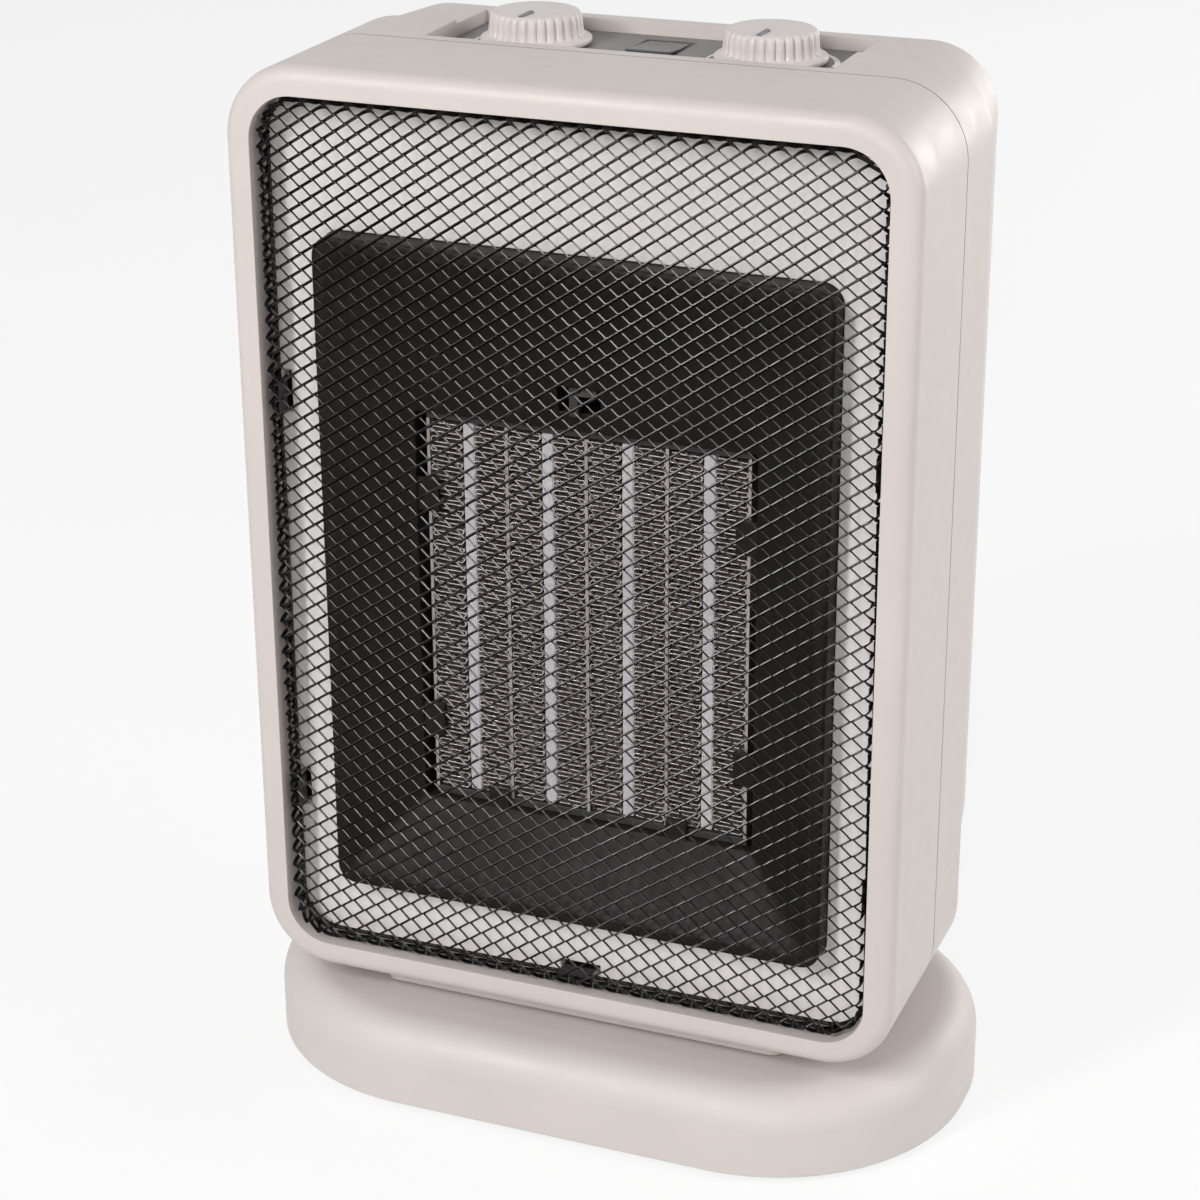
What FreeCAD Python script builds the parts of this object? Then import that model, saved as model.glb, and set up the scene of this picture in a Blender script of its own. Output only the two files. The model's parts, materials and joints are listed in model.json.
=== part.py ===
import FreeCAD, Part
import math
import os
import Sketcher

os.makedirs("parts", exist_ok=True)

# Fan heater with a swivelling head on an oval base.
# Frame: millimetres, Z up, front faces -Y, origin on the floor under the swivel axis.

SIZES = {
    # Head
    "body_width": 186.0,
    "body_height": 260.0,
    "body_bottom": 32.0,
    "front_reach": 45.0,
    "front_depth": 41.0,
    "corner_round": 20.0,
    "edge_round": 4.1,
    "rim_width": 7.7,
    "grille_recess": 11.0,
    "shell_wall": 2.5,
    "panel_wall": 3.0,
    "strip_depth": 25.0,
    "bulge_depth": 33.0,
    "bulge_lift": 17.5,
    "bulge_inset": 7.0,
    "bulge_round": 9.0,
    "seam_gap": 0.3,
    # Outlet
    "outlet_width": 143.0,
    "outlet_height": 189.2,
    "outlet_bottom": 26.2,
    "outlet_round": 5.75,
    "grille_sheet": 0.8,
    "grille_fit": 0.4,
    "grille_setback": 0.6,
    "grille_strand": 1.6,
    "prong_low": 51.3,
    "prong_spacing": 118.0,
    "dish_fit": 0.25,
    "dish_wall": 2.0,
    "dish_flange": 5.0,
    "dish_depth": 11.6,
    "dish_proud": 7.0,
    "dish_rim": 3.5,
    "dish_edge": 1.2,
    "window_margin": 2.4,
    "tab_reach": 3.6,
    "tab_height": 9.5,
    # Element
    "element_height": 109.1,
    "element_bottom": 54.9,
    "element_front": 17.8,
    "element_depth": 15.0,
    "fin_width": 8.9,
    "fin_sheet": 0.45,
    "fin_waves": 40.0,
    "ceramic_width": 4.0,
    "plate_sheet": 0.9,
    "cap_height": 5.0,
    # Fan and its motor
    "throat_radius": 60.0,
    "tip_clearance": 2.0,
    "shroud_wall": 2.2,
    "shroud_length": 30.0,
    "hub_radius": 15.0,
    "hub_length": 14.0,
    "blade_sheet": 1.6,
    "blade_chord": 30.0,
    "motor_radius": 17.0,
    "motor_length": 30.0,
    "can_wall": 1.2,
    "motor_fit": 0.05,
    "shaft_radius": 1.6,
    "shaft_fit": 0.04,
    "rotor_radius": 12.5,
    # Controls
    "control_width": 112.0,
    "control_depth": 40.0,
    "control_centre": 21.0,
    "control_lip": 1.5,
    "control_sink": 5.0,
    "control_fit": 0.3,
    "knob_radius": 15.0,
    "knob_height": 8.5,
    "knob_spacing": 66.0,
    "knob_gap": 0.5,
    "spindle_radius": 3.0,
    "spindle_fit": 0.06,
    "switch_side": 28.0,
    "switch_height": 16.0,
    "rocker_width": 12.0,
    "rocker_length": 18.0,
    "rocker_fit": 0.6,
    "lens_radius": 2.5,
    # Swivel
    "plinth_width": 120.0,
    "plinth_depth": 52.0,
    "plinth_offset": -10.0,
    "plinth_gap": 0.6,
    "pivot_radius": 15.0,
    "pivot_bore": 10.0,
    "pivot_fit": 0.06,
    "bush_wall": 2.0,
    "bush_flange": 5.0,
    "sector_teeth": 64.0,
    "pinion_teeth": 16.0,
    "tooth_module": 1.25,
    "tooth_backlash": 0.3,
    "sector_span": 100.0,
    "gear_width": 4.0,
    # Base
    "base_width": 206.0,
    "base_depth": 120.0,
    "base_height": 26.0,
    "base_round": 57.0,
    "base_shoulder": 10.0,
    "base_wall": 2.5,
    "plate_lift": 2.0,
    "plate_wall": 2.5,
    "plate_fit": 0.3,
    "foot_radius": 8.0,
    "drive_radius": 17.0,
    "drive_height": 10.0,
    "gland_radius": 4.6,
    "gland_bore": 3.6,
    "plunger_radius": 4.0,
    "plunger_travel": 3.0,
    "plunger_fit": 0.1,
    # Fasteners
    "screw_radius": 1.5,
    "screw_head": 3.0,
    "screw_head_height": 1.8,
    "boss_radius": 4.0,
    "screw_fit": 0.2,
}

doc = FreeCAD.newDocument("FanHeater")
sheet = doc.addObject("Spreadsheet::Sheet", "Sizes")
for row, (alias, amount) in enumerate(SIZES.items(), start=1):
    sheet.set(f"A{row}", alias)
    sheet.set(f"B{row}", str(amount))
    sheet.setAlias(f"B{row}", alias)
doc.recompute()


class Size:
    """A length that knows both its expression text and its present value."""

    def __init__(self, text, value):
        self.text = text
        self.value = value

    def __add__(self, other):
        other = size(other)
        return Size(f"({self.text} + {other.text})", self.value + other.value)

    def __sub__(self, other):
        other = size(other)
        return Size(f"({self.text} - {other.text})", self.value - other.value)

    def __mul__(self, other):
        other = size(other)
        return Size(f"({self.text} * {other.text})", self.value * other.value)

    def __truediv__(self, other):
        other = size(other)
        return Size(f"({self.text} / {other.text})", self.value / other.value)

    def __neg__(self):
        return Size(f"(0 - {self.text})", -self.value)

    def __radd__(self, other):
        return size(other) + self

    def __rsub__(self, other):
        return size(other) - self

    def __rmul__(self, other):
        return size(other) * self


def size(amount):
    """Give a Size for a plain number, and a Size as it is."""
    if isinstance(amount, Size):
        return amount
    return Size(f"({float(amount)!r})", float(amount))


def cell(alias):
    """Give the Size of one sheet cell."""
    return Size(f"Sizes.{alias}", float(sheet.get(alias)))


def vector(x, y, z):
    """Give a vector from numbers or Sizes."""
    return FreeCAD.Vector(size(x).value, size(y).value, size(z).value)


def bind(feature, path, amount):
    """Bind a property of a feature to a Size."""
    feature.setExpression(path, size(amount).text)


def place(feature, x, y, z):
    """Bind where a feature stands."""
    bind(feature, "Placement.Base.x", x)
    bind(feature, "Placement.Base.y", y)
    bind(feature, "Placement.Base.z", z)
    return feature


def box(name, xs, ys, zs):
    """Add a box between pairs of limits."""
    feature = doc.addObject("Part::Box", name)
    for path, limits in (("Length", xs), ("Width", ys), ("Height", zs)):
        bind(feature, path, size(limits[1]) - limits[0])
    return place(feature, xs[0], ys[0], zs[0])


TURNS = {
    "x": FreeCAD.Rotation(FreeCAD.Vector(0, 1, 0), 90),
    "y": FreeCAD.Rotation(FreeCAD.Vector(1, 0, 0), -90),
    "z": FreeCAD.Rotation(),
}


def rod(name, axis, radius, start, end, across):
    """Add a cylinder along an axis; across holds its other two coordinates in order."""
    feature = doc.addObject("Part::Cylinder", name)
    feature.Placement = FreeCAD.Placement(FreeCAD.Vector(), TURNS[axis])
    bind(feature, "Radius", radius)
    bind(feature, "Height", size(end) - start)
    spots = {
        "x": (start, across[0], across[1]),
        "y": (across[0], start, across[1]),
        "z": (across[0], across[1], start),
    }
    return place(feature, *spots[axis])


def cone(name, axis, first, last, start, end, across):
    """Add a cone frustum along an axis."""
    feature = doc.addObject("Part::Cone", name)
    feature.Placement = FreeCAD.Placement(FreeCAD.Vector(), TURNS[axis])
    bind(feature, "Radius1", first)
    bind(feature, "Radius2", last)
    bind(feature, "Height", size(end) - start)
    spots = {
        "x": (start, across[0], across[1]),
        "y": (across[0], start, across[1]),
        "z": (across[0], across[1], start),
    }
    return place(feature, *spots[axis])


def fuse(name, *members):
    """Join features into one."""
    feature = doc.addObject("Part::MultiFuse", name)
    feature.Shapes = list(members)
    feature.Refine = True
    return feature


def group(name, members):
    """Keep separate solids together in one piece."""
    feature = doc.addObject("Part::Compound", name)
    feature.Links = list(members)
    return feature


def cut(name, base, *tools):
    """Take tools away from a feature."""
    feature = doc.addObject("Part::Cut", name)
    feature.Base = base
    feature.Tool = tools[0] if len(tools) == 1 else group(f"{name}_tools", tools)
    feature.Refine = True
    return feature


def tube(name, axis, outer, inner, start, end, across):
    """Add a tube along an axis."""
    skin = rod(f"{name}_skin", axis, outer, start, end, across)
    core = rod(f"{name}_core", axis, inner, size(start) - 1, size(end) + 1, across)
    return cut(name, skin, core)


def solid(name, shape):
    """Keep a shape that sketches and primitives cannot give."""
    feature = doc.addObject("Part::Feature", name)
    feature.Shape = shape
    return feature


class Shell:
    """A PartDesign body built from rounded outlines."""

    def __init__(self, name):
        self.name = name
        self.body = doc.addObject("PartDesign::Body", name)
        self.count = 0

    def sketch(self, role, offset):
        """Add a sketch on an origin plane, moved along the plane's normal."""
        self.count += 1
        feature = self.body.newObject("Sketcher::SketchObject", f"{self.name}_sketch_{self.count}")
        plane = [item for item in self.body.Origin.OriginFeatures if item.Role == role][0]
        feature.AttachmentSupport = (plane, [""])
        feature.MapMode = "FlatFace"
        bind(feature, "AttachmentOffset.Base.z", offset)
        return feature

    def outline(self, role, offset, us, vs, corner):
        """Sketch a rectangle with rounded corners between two pairs of limits."""
        sketch = self.sketch(role, offset)
        add_outline(sketch, us, vs, corner)
        return sketch

    def circles(self, role, offset, spots, radius):
        """Sketch one circle at each spot."""
        sketch = self.sketch(role, offset)
        for spot in spots:
            add_circle(sketch, spot, radius)
        return sketch

    def profile(self, role, points):
        """Sketch a closed run of straight lines through points."""
        sketch = self.sketch(role, 0)
        add_profile(sketch, points)
        return sketch

    def pad(self, sketch, length, back=False):
        """Pad a sketch along its plane's normal, or against it."""
        return self.feature("Pad", sketch, length, back)

    def pocket(self, sketch, length, back=False):
        """Cut a sketch against its plane's normal, or along it."""
        return self.feature("Pocket", sketch, length, back)

    def feature(self, kind, sketch, length, back):
        """Add a pad or a pocket."""
        self.count += 1
        feature = self.body.newObject(f"PartDesign::{kind}", f"{self.name}_{kind.lower()}_{self.count}")
        feature.Profile = sketch
        feature.Reversed = back
        bind(feature, "Length", length)
        doc.recompute()
        return feature

    def revolve(self, sketch, axis="V_Axis"):
        """Turn a profile about one of its sketch's axes."""
        self.count += 1
        feature = self.body.newObject("PartDesign::Revolution", f"{self.name}_turn_{self.count}")
        feature.Profile = sketch
        feature.ReferenceAxis = (sketch, [axis])
        feature.Angle = 360
        doc.recompute()
        return feature

    def loft(self, first, last, kind="AdditiveLoft"):
        """Loft between two sketches, adding or taking away."""
        self.count += 1
        feature = self.body.newObject(f"PartDesign::{kind}", f"{self.name}_loft_{self.count}")
        feature.Profile = first
        feature.Sections = [last]
        feature.Ruled = True
        doc.recompute()
        return feature

    def round(self, radius, wanted):
        """Round the edges that a test picks."""
        base = self.body.Tip
        names = []
        for index, edge in enumerate(base.Shape.Edges, start=1):
            if wanted(edge):
                names.append(f"Edge{index}")
        self.count += 1
        feature = self.body.newObject("PartDesign::Fillet", f"{self.name}_round_{self.count}")
        feature.Base = (base, names)
        bind(feature, "Radius", radius)
        doc.recompute()
        return feature


def fix(sketch, kind, line, point, amount):
    """Hold one coordinate of a sketch point at a Size."""
    amount = size(amount)
    if amount.text == "(0.0)":
        axis = -2 if kind == "DistanceX" else -1
        sketch.addConstraint(Sketcher.Constraint("PointOnObject", line, point, axis))
        return
    index = sketch.addConstraint(Sketcher.Constraint(kind, -1, 1, line, point, amount.value))
    sketch.setExpression(f"Constraints[{index}]", amount.text)


def add_outline(sketch, us, vs, corner):
    """Draw a rounded rectangle, or a plain one where corner is None."""
    left, right = (size(limit) for limit in us)
    low, high = (size(limit) for limit in vs)
    bend = 0.0 if corner is None else size(corner).value
    turn = FreeCAD.Vector(0, 0, 1)
    ends = [
        (left.value + bend, low.value, right.value - bend, low.value),
        (right.value, low.value + bend, right.value, high.value - bend),
        (right.value - bend, high.value, left.value + bend, high.value),
        (left.value, high.value - bend, left.value, low.value + bend),
    ]
    lines = []
    for x1, y1, x2, y2 in ends:
        edge = Part.LineSegment(FreeCAD.Vector(x1, y1, 0), FreeCAD.Vector(x2, y2, 0))
        lines.append(sketch.addGeometry(edge, False))
    for index, line in enumerate(lines):
        kind = "Vertical" if index % 2 else "Horizontal"
        sketch.addConstraint(Sketcher.Constraint(kind, line))
    fix(sketch, "DistanceY", lines[0], 1, low)
    fix(sketch, "DistanceX", lines[1], 1, right)
    fix(sketch, "DistanceY", lines[2], 1, high)
    fix(sketch, "DistanceX", lines[3], 1, left)
    if corner is None:
        for index, line in enumerate(lines):
            following = lines[(index + 1) % 4]
            sketch.addConstraint(Sketcher.Constraint("Coincident", line, 2, following, 1))
        return
    centres = [
        (right.value - bend, low.value + bend, -90),
        (right.value - bend, high.value - bend, 0),
        (left.value + bend, high.value - bend, 90),
        (left.value + bend, low.value + bend, 180),
    ]
    for index, (x, y, start) in enumerate(centres):
        circle = Part.Circle(FreeCAD.Vector(x, y, 0), turn, bend)
        arc = Part.ArcOfCircle(circle, math.radians(start), math.radians(start + 90))
        number = sketch.addGeometry(arc, False)
        following = lines[(index + 1) % 4]
        sketch.addConstraint(Sketcher.Constraint("Tangent", lines[index], 2, number, 1))
        sketch.addConstraint(Sketcher.Constraint("Tangent", number, 2, following, 1))
        held = sketch.addConstraint(Sketcher.Constraint("Radius", number, bend))
        sketch.setExpression(f"Constraints[{held}]", size(corner).text)


def add_circle(sketch, spot, radius):
    """Draw a circle at a spot."""
    u, v = (size(amount) for amount in spot)
    circle = Part.Circle(FreeCAD.Vector(u.value, v.value, 0), FreeCAD.Vector(0, 0, 1), size(radius).value)
    number = sketch.addGeometry(circle, False)
    fix(sketch, "DistanceX", number, 3, u)
    fix(sketch, "DistanceY", number, 3, v)
    held = sketch.addConstraint(Sketcher.Constraint("Radius", number, size(radius).value))
    sketch.setExpression(f"Constraints[{held}]", size(radius).text)


def add_profile(sketch, points):
    """Draw a closed polygon through points."""
    spots = [(size(u), size(v)) for u, v in points]
    lines = []
    for index, (u, v) in enumerate(spots):
        following = spots[(index + 1) % len(spots)]
        start = FreeCAD.Vector(u.value, v.value, 0)
        end = FreeCAD.Vector(following[0].value, following[1].value, 0)
        lines.append(sketch.addGeometry(Part.LineSegment(start, end), False))
    for index, line in enumerate(lines):
        following = lines[(index + 1) % len(lines)]
        sketch.addConstraint(Sketcher.Constraint("Coincident", line, 2, following, 1))
    for line, (u, v) in zip(lines, spots):
        fix(sketch, "DistanceX", line, 1, u)
        fix(sketch, "DistanceY", line, 1, v)


def level(edge, axis, amount):
    """Tell whether an edge lies in one plane across an axis."""
    low, high = {
        "x": (edge.BoundBox.XMin, edge.BoundBox.XMax),
        "y": (edge.BoundBox.YMin, edge.BoundBox.YMax),
        "z": (edge.BoundBox.ZMin, edge.BoundBox.ZMax),
    }[axis]
    target = size(amount).value
    return abs(low - target) < 1e-4 and abs(high - target) < 1e-4


pieces = {}


def keep(label, feature):
    """Name a finished piece, which also names its file."""
    feature.Label = label
    pieces[label] = feature
    return feature


# Shared places

half = cell("body_width") / 2
bottom = cell("body_bottom")
top = bottom + cell("body_height")
front = -cell("front_reach")
seam = front + cell("front_depth")
step = seam + cell("strip_depth")
rear = step + cell("bulge_depth")
wall = cell("shell_wall")
panel_front = front + cell("grille_recess")
panel_back = panel_front + cell("panel_wall")
outlet_half = cell("outlet_width") / 2
outlet_low = bottom + cell("outlet_bottom")
outlet_high = outlet_low + cell("outlet_height")
element_low = bottom + cell("element_bottom")
element_high = element_low + cell("element_height")
element_half = 4 * cell("fin_width") + 2 * cell("ceramic_width") + 2.5 * cell("plate_sheet")
element_face = front + cell("element_front")
element_back = element_face + cell("element_depth")
fan_height = (element_low + element_high) / 2
screw = cell("screw_radius")
screw_hole = screw + cell("screw_fit")
screw_head = cell("screw_head")
screw_seat = cell("screw_head_height")
boss = cell("boss_radius")
seam_gap = cell("seam_gap")
rib_join = wall - 0.5

housing_spots = [
    (sign * (half - 27), height)
    for sign in (-1, 1)
    for height in (bottom + 8.5, top - 11)
]
dish_spots = [
    (sign * (outlet_half + 2.6), outlet_low + cell("outlet_height") * share)
    for sign in (-1, 1)
    for share in (0.12, 0.5, 0.88)
]
shroud_spots = [
    (sign * (element_half + 10), height)
    for sign in (-1, 1)
    for height in (element_low - 7, element_high + 7)
]
plinth_spots = [
    (sign * (cell("plinth_width") / 2 - 18), depth)
    for sign in (-1, 1)
    for depth in (seam - 13, seam + 13)
]

# Front housing

shell = Shell("front_shell")
shell.pad(
    shell.outline("XZ_Plane", -front, (-half, half), (bottom, top), cell("corner_round")),
    cell("front_depth"),
    back=True,
)
shell.round(cell("edge_round"), lambda edge: level(edge, "y", front))
rim = cell("rim_width")
shell.pocket(
    shell.outline(
        "XZ_Plane", -front, (-half + rim, half - rim), (bottom + rim, top - rim), cell("corner_round") - rim
    ),
    cell("grille_recess"),
)
shell.pocket(
    shell.outline(
        "XZ_Plane",
        -seam,
        (-half + wall, half - wall),
        (bottom + wall, top - wall),
        cell("corner_round") - wall,
    ),
    seam - panel_back,
    back=True,
)
shell.pocket(
    shell.outline(
        "XZ_Plane",
        -panel_front,
        (-outlet_half, outlet_half),
        (outlet_low, outlet_high),
        cell("outlet_round"),
    ),
    cell("panel_wall") + 1,
)
slot_half = size(6.0)
slot_low = bottom + cell("prong_low")
slot_rows = [slot_low, slot_low + cell("prong_spacing")]
slot_cuts = []
for sign, side in ((-1, "left"), (1, "right")):
    edge_x = sign * (half - rim - 2.2)
    for number, row in enumerate(slot_rows):
        slot_cuts.append(
            box(
                f"front_slot_{side}_{number}",
                (edge_x - 1.2, edge_x + 1.2),
                (panel_front - 1, panel_back + 1),
                (row - slot_half, row + slot_half),
            )
        )
for name, edge_z in (("low", bottom + rim + 2.2), ("high", top - rim - 2.2)):
    slot_cuts.append(
        box(
            f"front_slot_{name}",
            (-slot_half, slot_half),
            (panel_front - 1, panel_back + 1),
            (edge_z - 1.2, edge_z + 1.2),
        )
    )
front_bosses = [
    rod(f"front_boss_{number}", "y", boss, panel_back - 0.5, seam - seam_gap, spot)
    for number, spot in enumerate(housing_spots)
]
front_posts = [
    rod(f"front_post_{number}", "z", boss, bottom + rib_join, bottom + 13, spot)
    for number, spot in enumerate(plinth_spots)
    if spot[1].value < seam.value
]
front_holes = [
    rod(f"front_hole_{number}", "y", screw, panel_back + 4, seam + 1, spot)
    for number, spot in enumerate(housing_spots)
]
front_holes += [
    rod(f"front_pilot_{number}", "y", screw, panel_back - 1.8, panel_back + 1, spot)
    for number, spot in enumerate(dish_spots)
]
front_holes += [
    rod(f"front_post_hole_{number}", "z", screw, bottom - 1, bottom + 11, spot)
    for number, spot in enumerate(plinth_spots)
    if spot[1].value < seam.value
]
keep(
    "front_housing",
    cut(
        "front_housing",
        fuse("front_joined", shell.body, *front_bosses, *front_posts),
        *front_holes,
        *slot_cuts,
    ),
)

# Rear housing

shell = Shell("rear_shell")
lift = cell("bulge_lift")
inset = cell("bulge_inset")
shell.pad(
    shell.outline("XZ_Plane", -(seam + seam_gap), (-half, half), (bottom, top), cell("corner_round")),
    cell("strip_depth") - seam_gap,
    back=True,
)
near = size(1.0)
shell.loft(
    shell.outline(
        "XZ_Plane",
        -step,
        (-half + near, half - near),
        (bottom + lift, top - near),
        cell("corner_round") - near,
    ),
    shell.outline(
        "XZ_Plane",
        -rear,
        (-half + inset, half - inset),
        (bottom + lift + inset / 2, top - near),
        cell("corner_round") - near,
    ),
)
shell.round(cell("bulge_round"), lambda edge: level(edge, "y", rear))
shell.pocket(
    shell.outline(
        "XZ_Plane",
        -(seam + seam_gap),
        (-half + wall, half - wall),
        (bottom + wall, top - wall),
        cell("corner_round") - wall,
    ),
    cell("strip_depth") - seam_gap - wall,
)
shell.loft(
    shell.outline(
        "XZ_Plane",
        -(step - wall - 0.5),
        (-half + near + wall, half - near - wall),
        (bottom + lift + wall, top - near - wall),
        cell("corner_round") - near - wall,
    ),
    shell.outline(
        "XZ_Plane",
        -(rear - wall),
        (-half + inset + wall, half - inset - wall),
        (bottom + lift + inset / 2 + wall, top - near - wall),
        cell("corner_round") - near - wall,
    ),
    kind="SubtractiveLoft",
)
well = screw_head + 0.6
tube_wall = well + 1.8
rear_tubes = []
rear_wells = []
for number, spot in enumerate(housing_spots):
    lower = number % 2 == 0
    tube_end = step - 0.5 if lower else rear - 1.5
    rear_tubes.append(rod(f"rear_tube_{number}", "y", tube_wall, seam + seam_gap, tube_end, spot))
    rear_wells.append(rod(f"rear_well_{number}", "y", well, seam + 8, rear + 1, spot))
    rear_wells.append(rod(f"rear_hole_{number}", "y", screw_hole, seam - 1, seam + 9, spot))
rear_posts = [
    rod(f"rear_post_{number}", "z", boss, bottom + rib_join, bottom + 13, spot)
    for number, spot in enumerate(plinth_spots)
    if spot[1].value > seam.value
]
rear_wells += [
    rod(f"rear_post_hole_{number}", "z", screw, bottom - 1, bottom + 11, spot)
    for number, spot in enumerate(plinth_spots)
    if spot[1].value > seam.value
]
rear_wells.append(
    rod("rear_wire_hole", "z", cell("pivot_bore") - 3, bottom - 1, bottom + wall + 1, (0, seam + 12))
)
slot_count = 15
slot_pitch = size(7.4)
slot_start = fan_height - slot_pitch * ((slot_count - 1) / 2)
for number in range(slot_count):
    middle = slot_start + slot_pitch * number
    for sign, side in ((-1, "left"), (1, "right")):
        limits = (size(4.0), size(56.0)) if sign > 0 else (size(-56.0), size(-4.0))
        rear_wells.append(
            box(
                f"rear_slot_{side}_{number}",
                limits,
                (rear - wall - 2, rear + 1),
                (middle - 1.9, middle + 1.9),
            )
        )
control_half = cell("control_width") / 2
control_mid = cell("control_centre")
control_reach = cell("control_depth") / 2
control_bed = top - near - 1.2 - cell("control_sink")
hole_edge = size(3.5)
rear_wells.append(
    box(
        "rear_control_seat",
        (-control_half - cell("control_fit"), control_half + cell("control_fit")),
        (
            control_mid - control_reach - cell("control_fit"),
            control_mid + control_reach + cell("control_fit"),
        ),
        (control_bed, top + 5),
    )
)
rear_wells.append(
    box(
        "rear_control_hole",
        (-control_half + hole_edge, control_half - hole_edge),
        (control_mid - control_reach + hole_edge, control_mid + control_reach - hole_edge),
        (top - 20, top + 5),
    )
)
seat_ledge = box(
    "rear_control_ledge",
    (-control_half - 3, control_half + 3),
    (control_mid - control_reach - 3, control_mid + control_reach + 3),
    (control_bed - 2.2, top - near - 0.8),
)
keep(
    "rear_housing",
    cut(
        "rear_housing",
        fuse("rear_joined", shell.body, *rear_tubes, *rear_posts, seat_ledge),
        *rear_wells,
    ),
)

# Mesh grille: a tray with a net of diamond holes in its face

gap = cell("grille_fit")
sheet_wall = cell("grille_sheet")
tray_half = half - rim - gap
tray_low = bottom + rim + gap
tray_high = top - rim - gap
tray_face = front + cell("grille_setback")
tray_back = panel_front - 0.4
tray_corner = cell("corner_round") - rim - gap
shell = Shell("grille_tray")
shell.pad(
    shell.outline("XZ_Plane", -tray_face, (-tray_half, tray_half), (tray_low, tray_high), tray_corner),
    tray_back - tray_face,
    back=True,
)
shell.pocket(
    shell.outline(
        "XZ_Plane",
        -tray_back,
        (-tray_half + sheet_wall, tray_half - sheet_wall),
        (tray_low + sheet_wall, tray_high - sheet_wall),
        tray_corner - sheet_wall,
    ),
    tray_back - tray_face - sheet_wall,
    back=True,
)
columns = 11
rows = 13
net_half = tray_half.value - 3.0
net_low = tray_low.value + 3.0
net_high = tray_high.value - 3.0
pitch_x = 2 * net_half / columns
pitch_z = (net_high - net_low) / rows
slack = cell("grille_strand").value / 2
reach_x = pitch_x / 2 - slack * math.hypot(pitch_x, pitch_z) / pitch_z
reach_z = pitch_z / 2 - slack * math.hypot(pitch_x, pitch_z) / pitch_x
net_front = tray_face.value - 1.0
diamonds = []
for shift in (0, 1):
    for row in range(rows - shift):
        for column in range(columns - shift):
            x = -net_half + pitch_x * (column + 0.5 + 0.5 * shift)
            z = net_low + pitch_z * (row + 0.5 + 0.5 * shift)
            corners = [(x - reach_x, z), (x, z - reach_z), (x + reach_x, z), (x, z + reach_z)]
            corners.append(corners[0])
            wire = Part.makePolygon([FreeCAD.Vector(u, net_front, v) for u, v in corners])
            diamonds.append(Part.Face(wire).extrude(FreeCAD.Vector(0, sheet_wall.value + 2, 0)))
net = solid("grille_net", Part.makeCompound(diamonds))
tabs = []
for sign, side in ((-1, "left"), (1, "right")):
    edge_x = sign * (tray_half - sheet_wall / 2)
    for number, row in enumerate(slot_rows):
        middle = sign * (half - rim - 2.2)
        low_x = middle - 0.9 if sign > 0 else edge_x - sheet_wall / 2
        high_x = edge_x + sheet_wall / 2 if sign > 0 else middle + 0.9
        lip = box(
            f"grille_lip_{side}_{number}",
            (low_x, high_x),
            (tray_back - 1.0, tray_back),
            (row - 5, row + 5),
        )
        prong = box(
            f"grille_prong_{side}_{number}",
            (middle - 0.9, middle + 0.9),
            (tray_back - 1.0, panel_back + 1.5),
            (row - 5, row + 5),
        )
        tabs += [lip, prong]
for name, sign, edge in (("low", 1, tray_low), ("high", -1, tray_high)):
    middle = (bottom + rim + 2.2) if sign > 0 else (top - rim - 2.2)
    low_z = edge if sign > 0 else middle - 0.9
    high_z = middle + 0.9 if sign > 0 else edge
    lip = box(f"grille_lip_{name}", (-5, 5), (tray_back - 1.0, tray_back), (low_z, high_z))
    prong = box(
        f"grille_prong_{name}", (-5, 5), (tray_back - 1.0, panel_back + 1.5), (middle - 0.9, middle + 0.9)
    )
    tabs += [lip, prong]
keep("mesh_grille", fuse("mesh_grille", cut("grille_holed", shell.body, net), *tabs))

# Outlet dish

dish_fit = cell("dish_fit")
dish_wall = cell("dish_wall")
dish_half = outlet_half - dish_fit
dish_low = outlet_low + dish_fit
dish_high = outlet_high - dish_fit
dish_front = panel_front - cell("dish_proud")
dish_back = dish_front + cell("dish_depth")
window = cell("window_margin")
window_half = element_half + window
window_low = element_low - window
window_high = element_high + window
sleeve_back = element_back + 0.4
shell = Shell("dish_shell")
shell.pad(
    shell.outline(
        "XZ_Plane",
        -dish_front,
        (-dish_half, dish_half),
        (dish_low, dish_high),
        cell("outlet_round") - dish_fit,
    ),
    dish_back + dish_wall - dish_front,
    back=True,
)
shell.round(cell("dish_edge"), lambda edge: level(edge, "y", dish_front))
flange = cell("dish_flange")
shell.pad(
    shell.outline(
        "XZ_Plane",
        -panel_back,
        (-outlet_half - flange, outlet_half + flange),
        (outlet_low - flange, outlet_high + flange),
        cell("outlet_round") + flange,
    ),
    dish_back + dish_wall - panel_back,
    back=True,
)
shell.pad(
    shell.outline(
        "XZ_Plane",
        -dish_back,
        (-window_half - dish_wall, window_half + dish_wall),
        (window_low - dish_wall, window_high + dish_wall),
        size(3.0),
    ),
    sleeve_back - dish_back,
    back=True,
)
dish_rim = cell("dish_rim")
slope_half = dish_half - dish_rim
slope_low = dish_low + dish_rim
slope_high = dish_high - dish_rim
relief = shell.outline(
    "XZ_Plane",
    -(dish_back + dish_wall),
    (-dish_half + dish_wall, dish_half - dish_wall),
    (dish_low + dish_wall, dish_high - dish_wall),
    cell("outlet_round") - dish_fit - dish_wall,
)
relief_half = (slope_half + window_half) / 2
add_outline(
    relief,
    (-relief_half, relief_half),
    ((slope_low + window_low) / 2, (slope_high + window_high) / 2),
    size(2.0),
)
shell.pocket(relief, cell("dish_depth") / 2 - 0.3, back=True)
shell.loft(
    shell.outline(
        "XZ_Plane",
        -dish_front,
        (-slope_half, slope_half),
        (slope_low, slope_high),
        size(3.0),
    ),
    shell.outline(
        "XZ_Plane", -dish_back, (-window_half, window_half), (window_low, window_high), size(1.0)
    ),
    kind="SubtractiveLoft",
)
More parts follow.
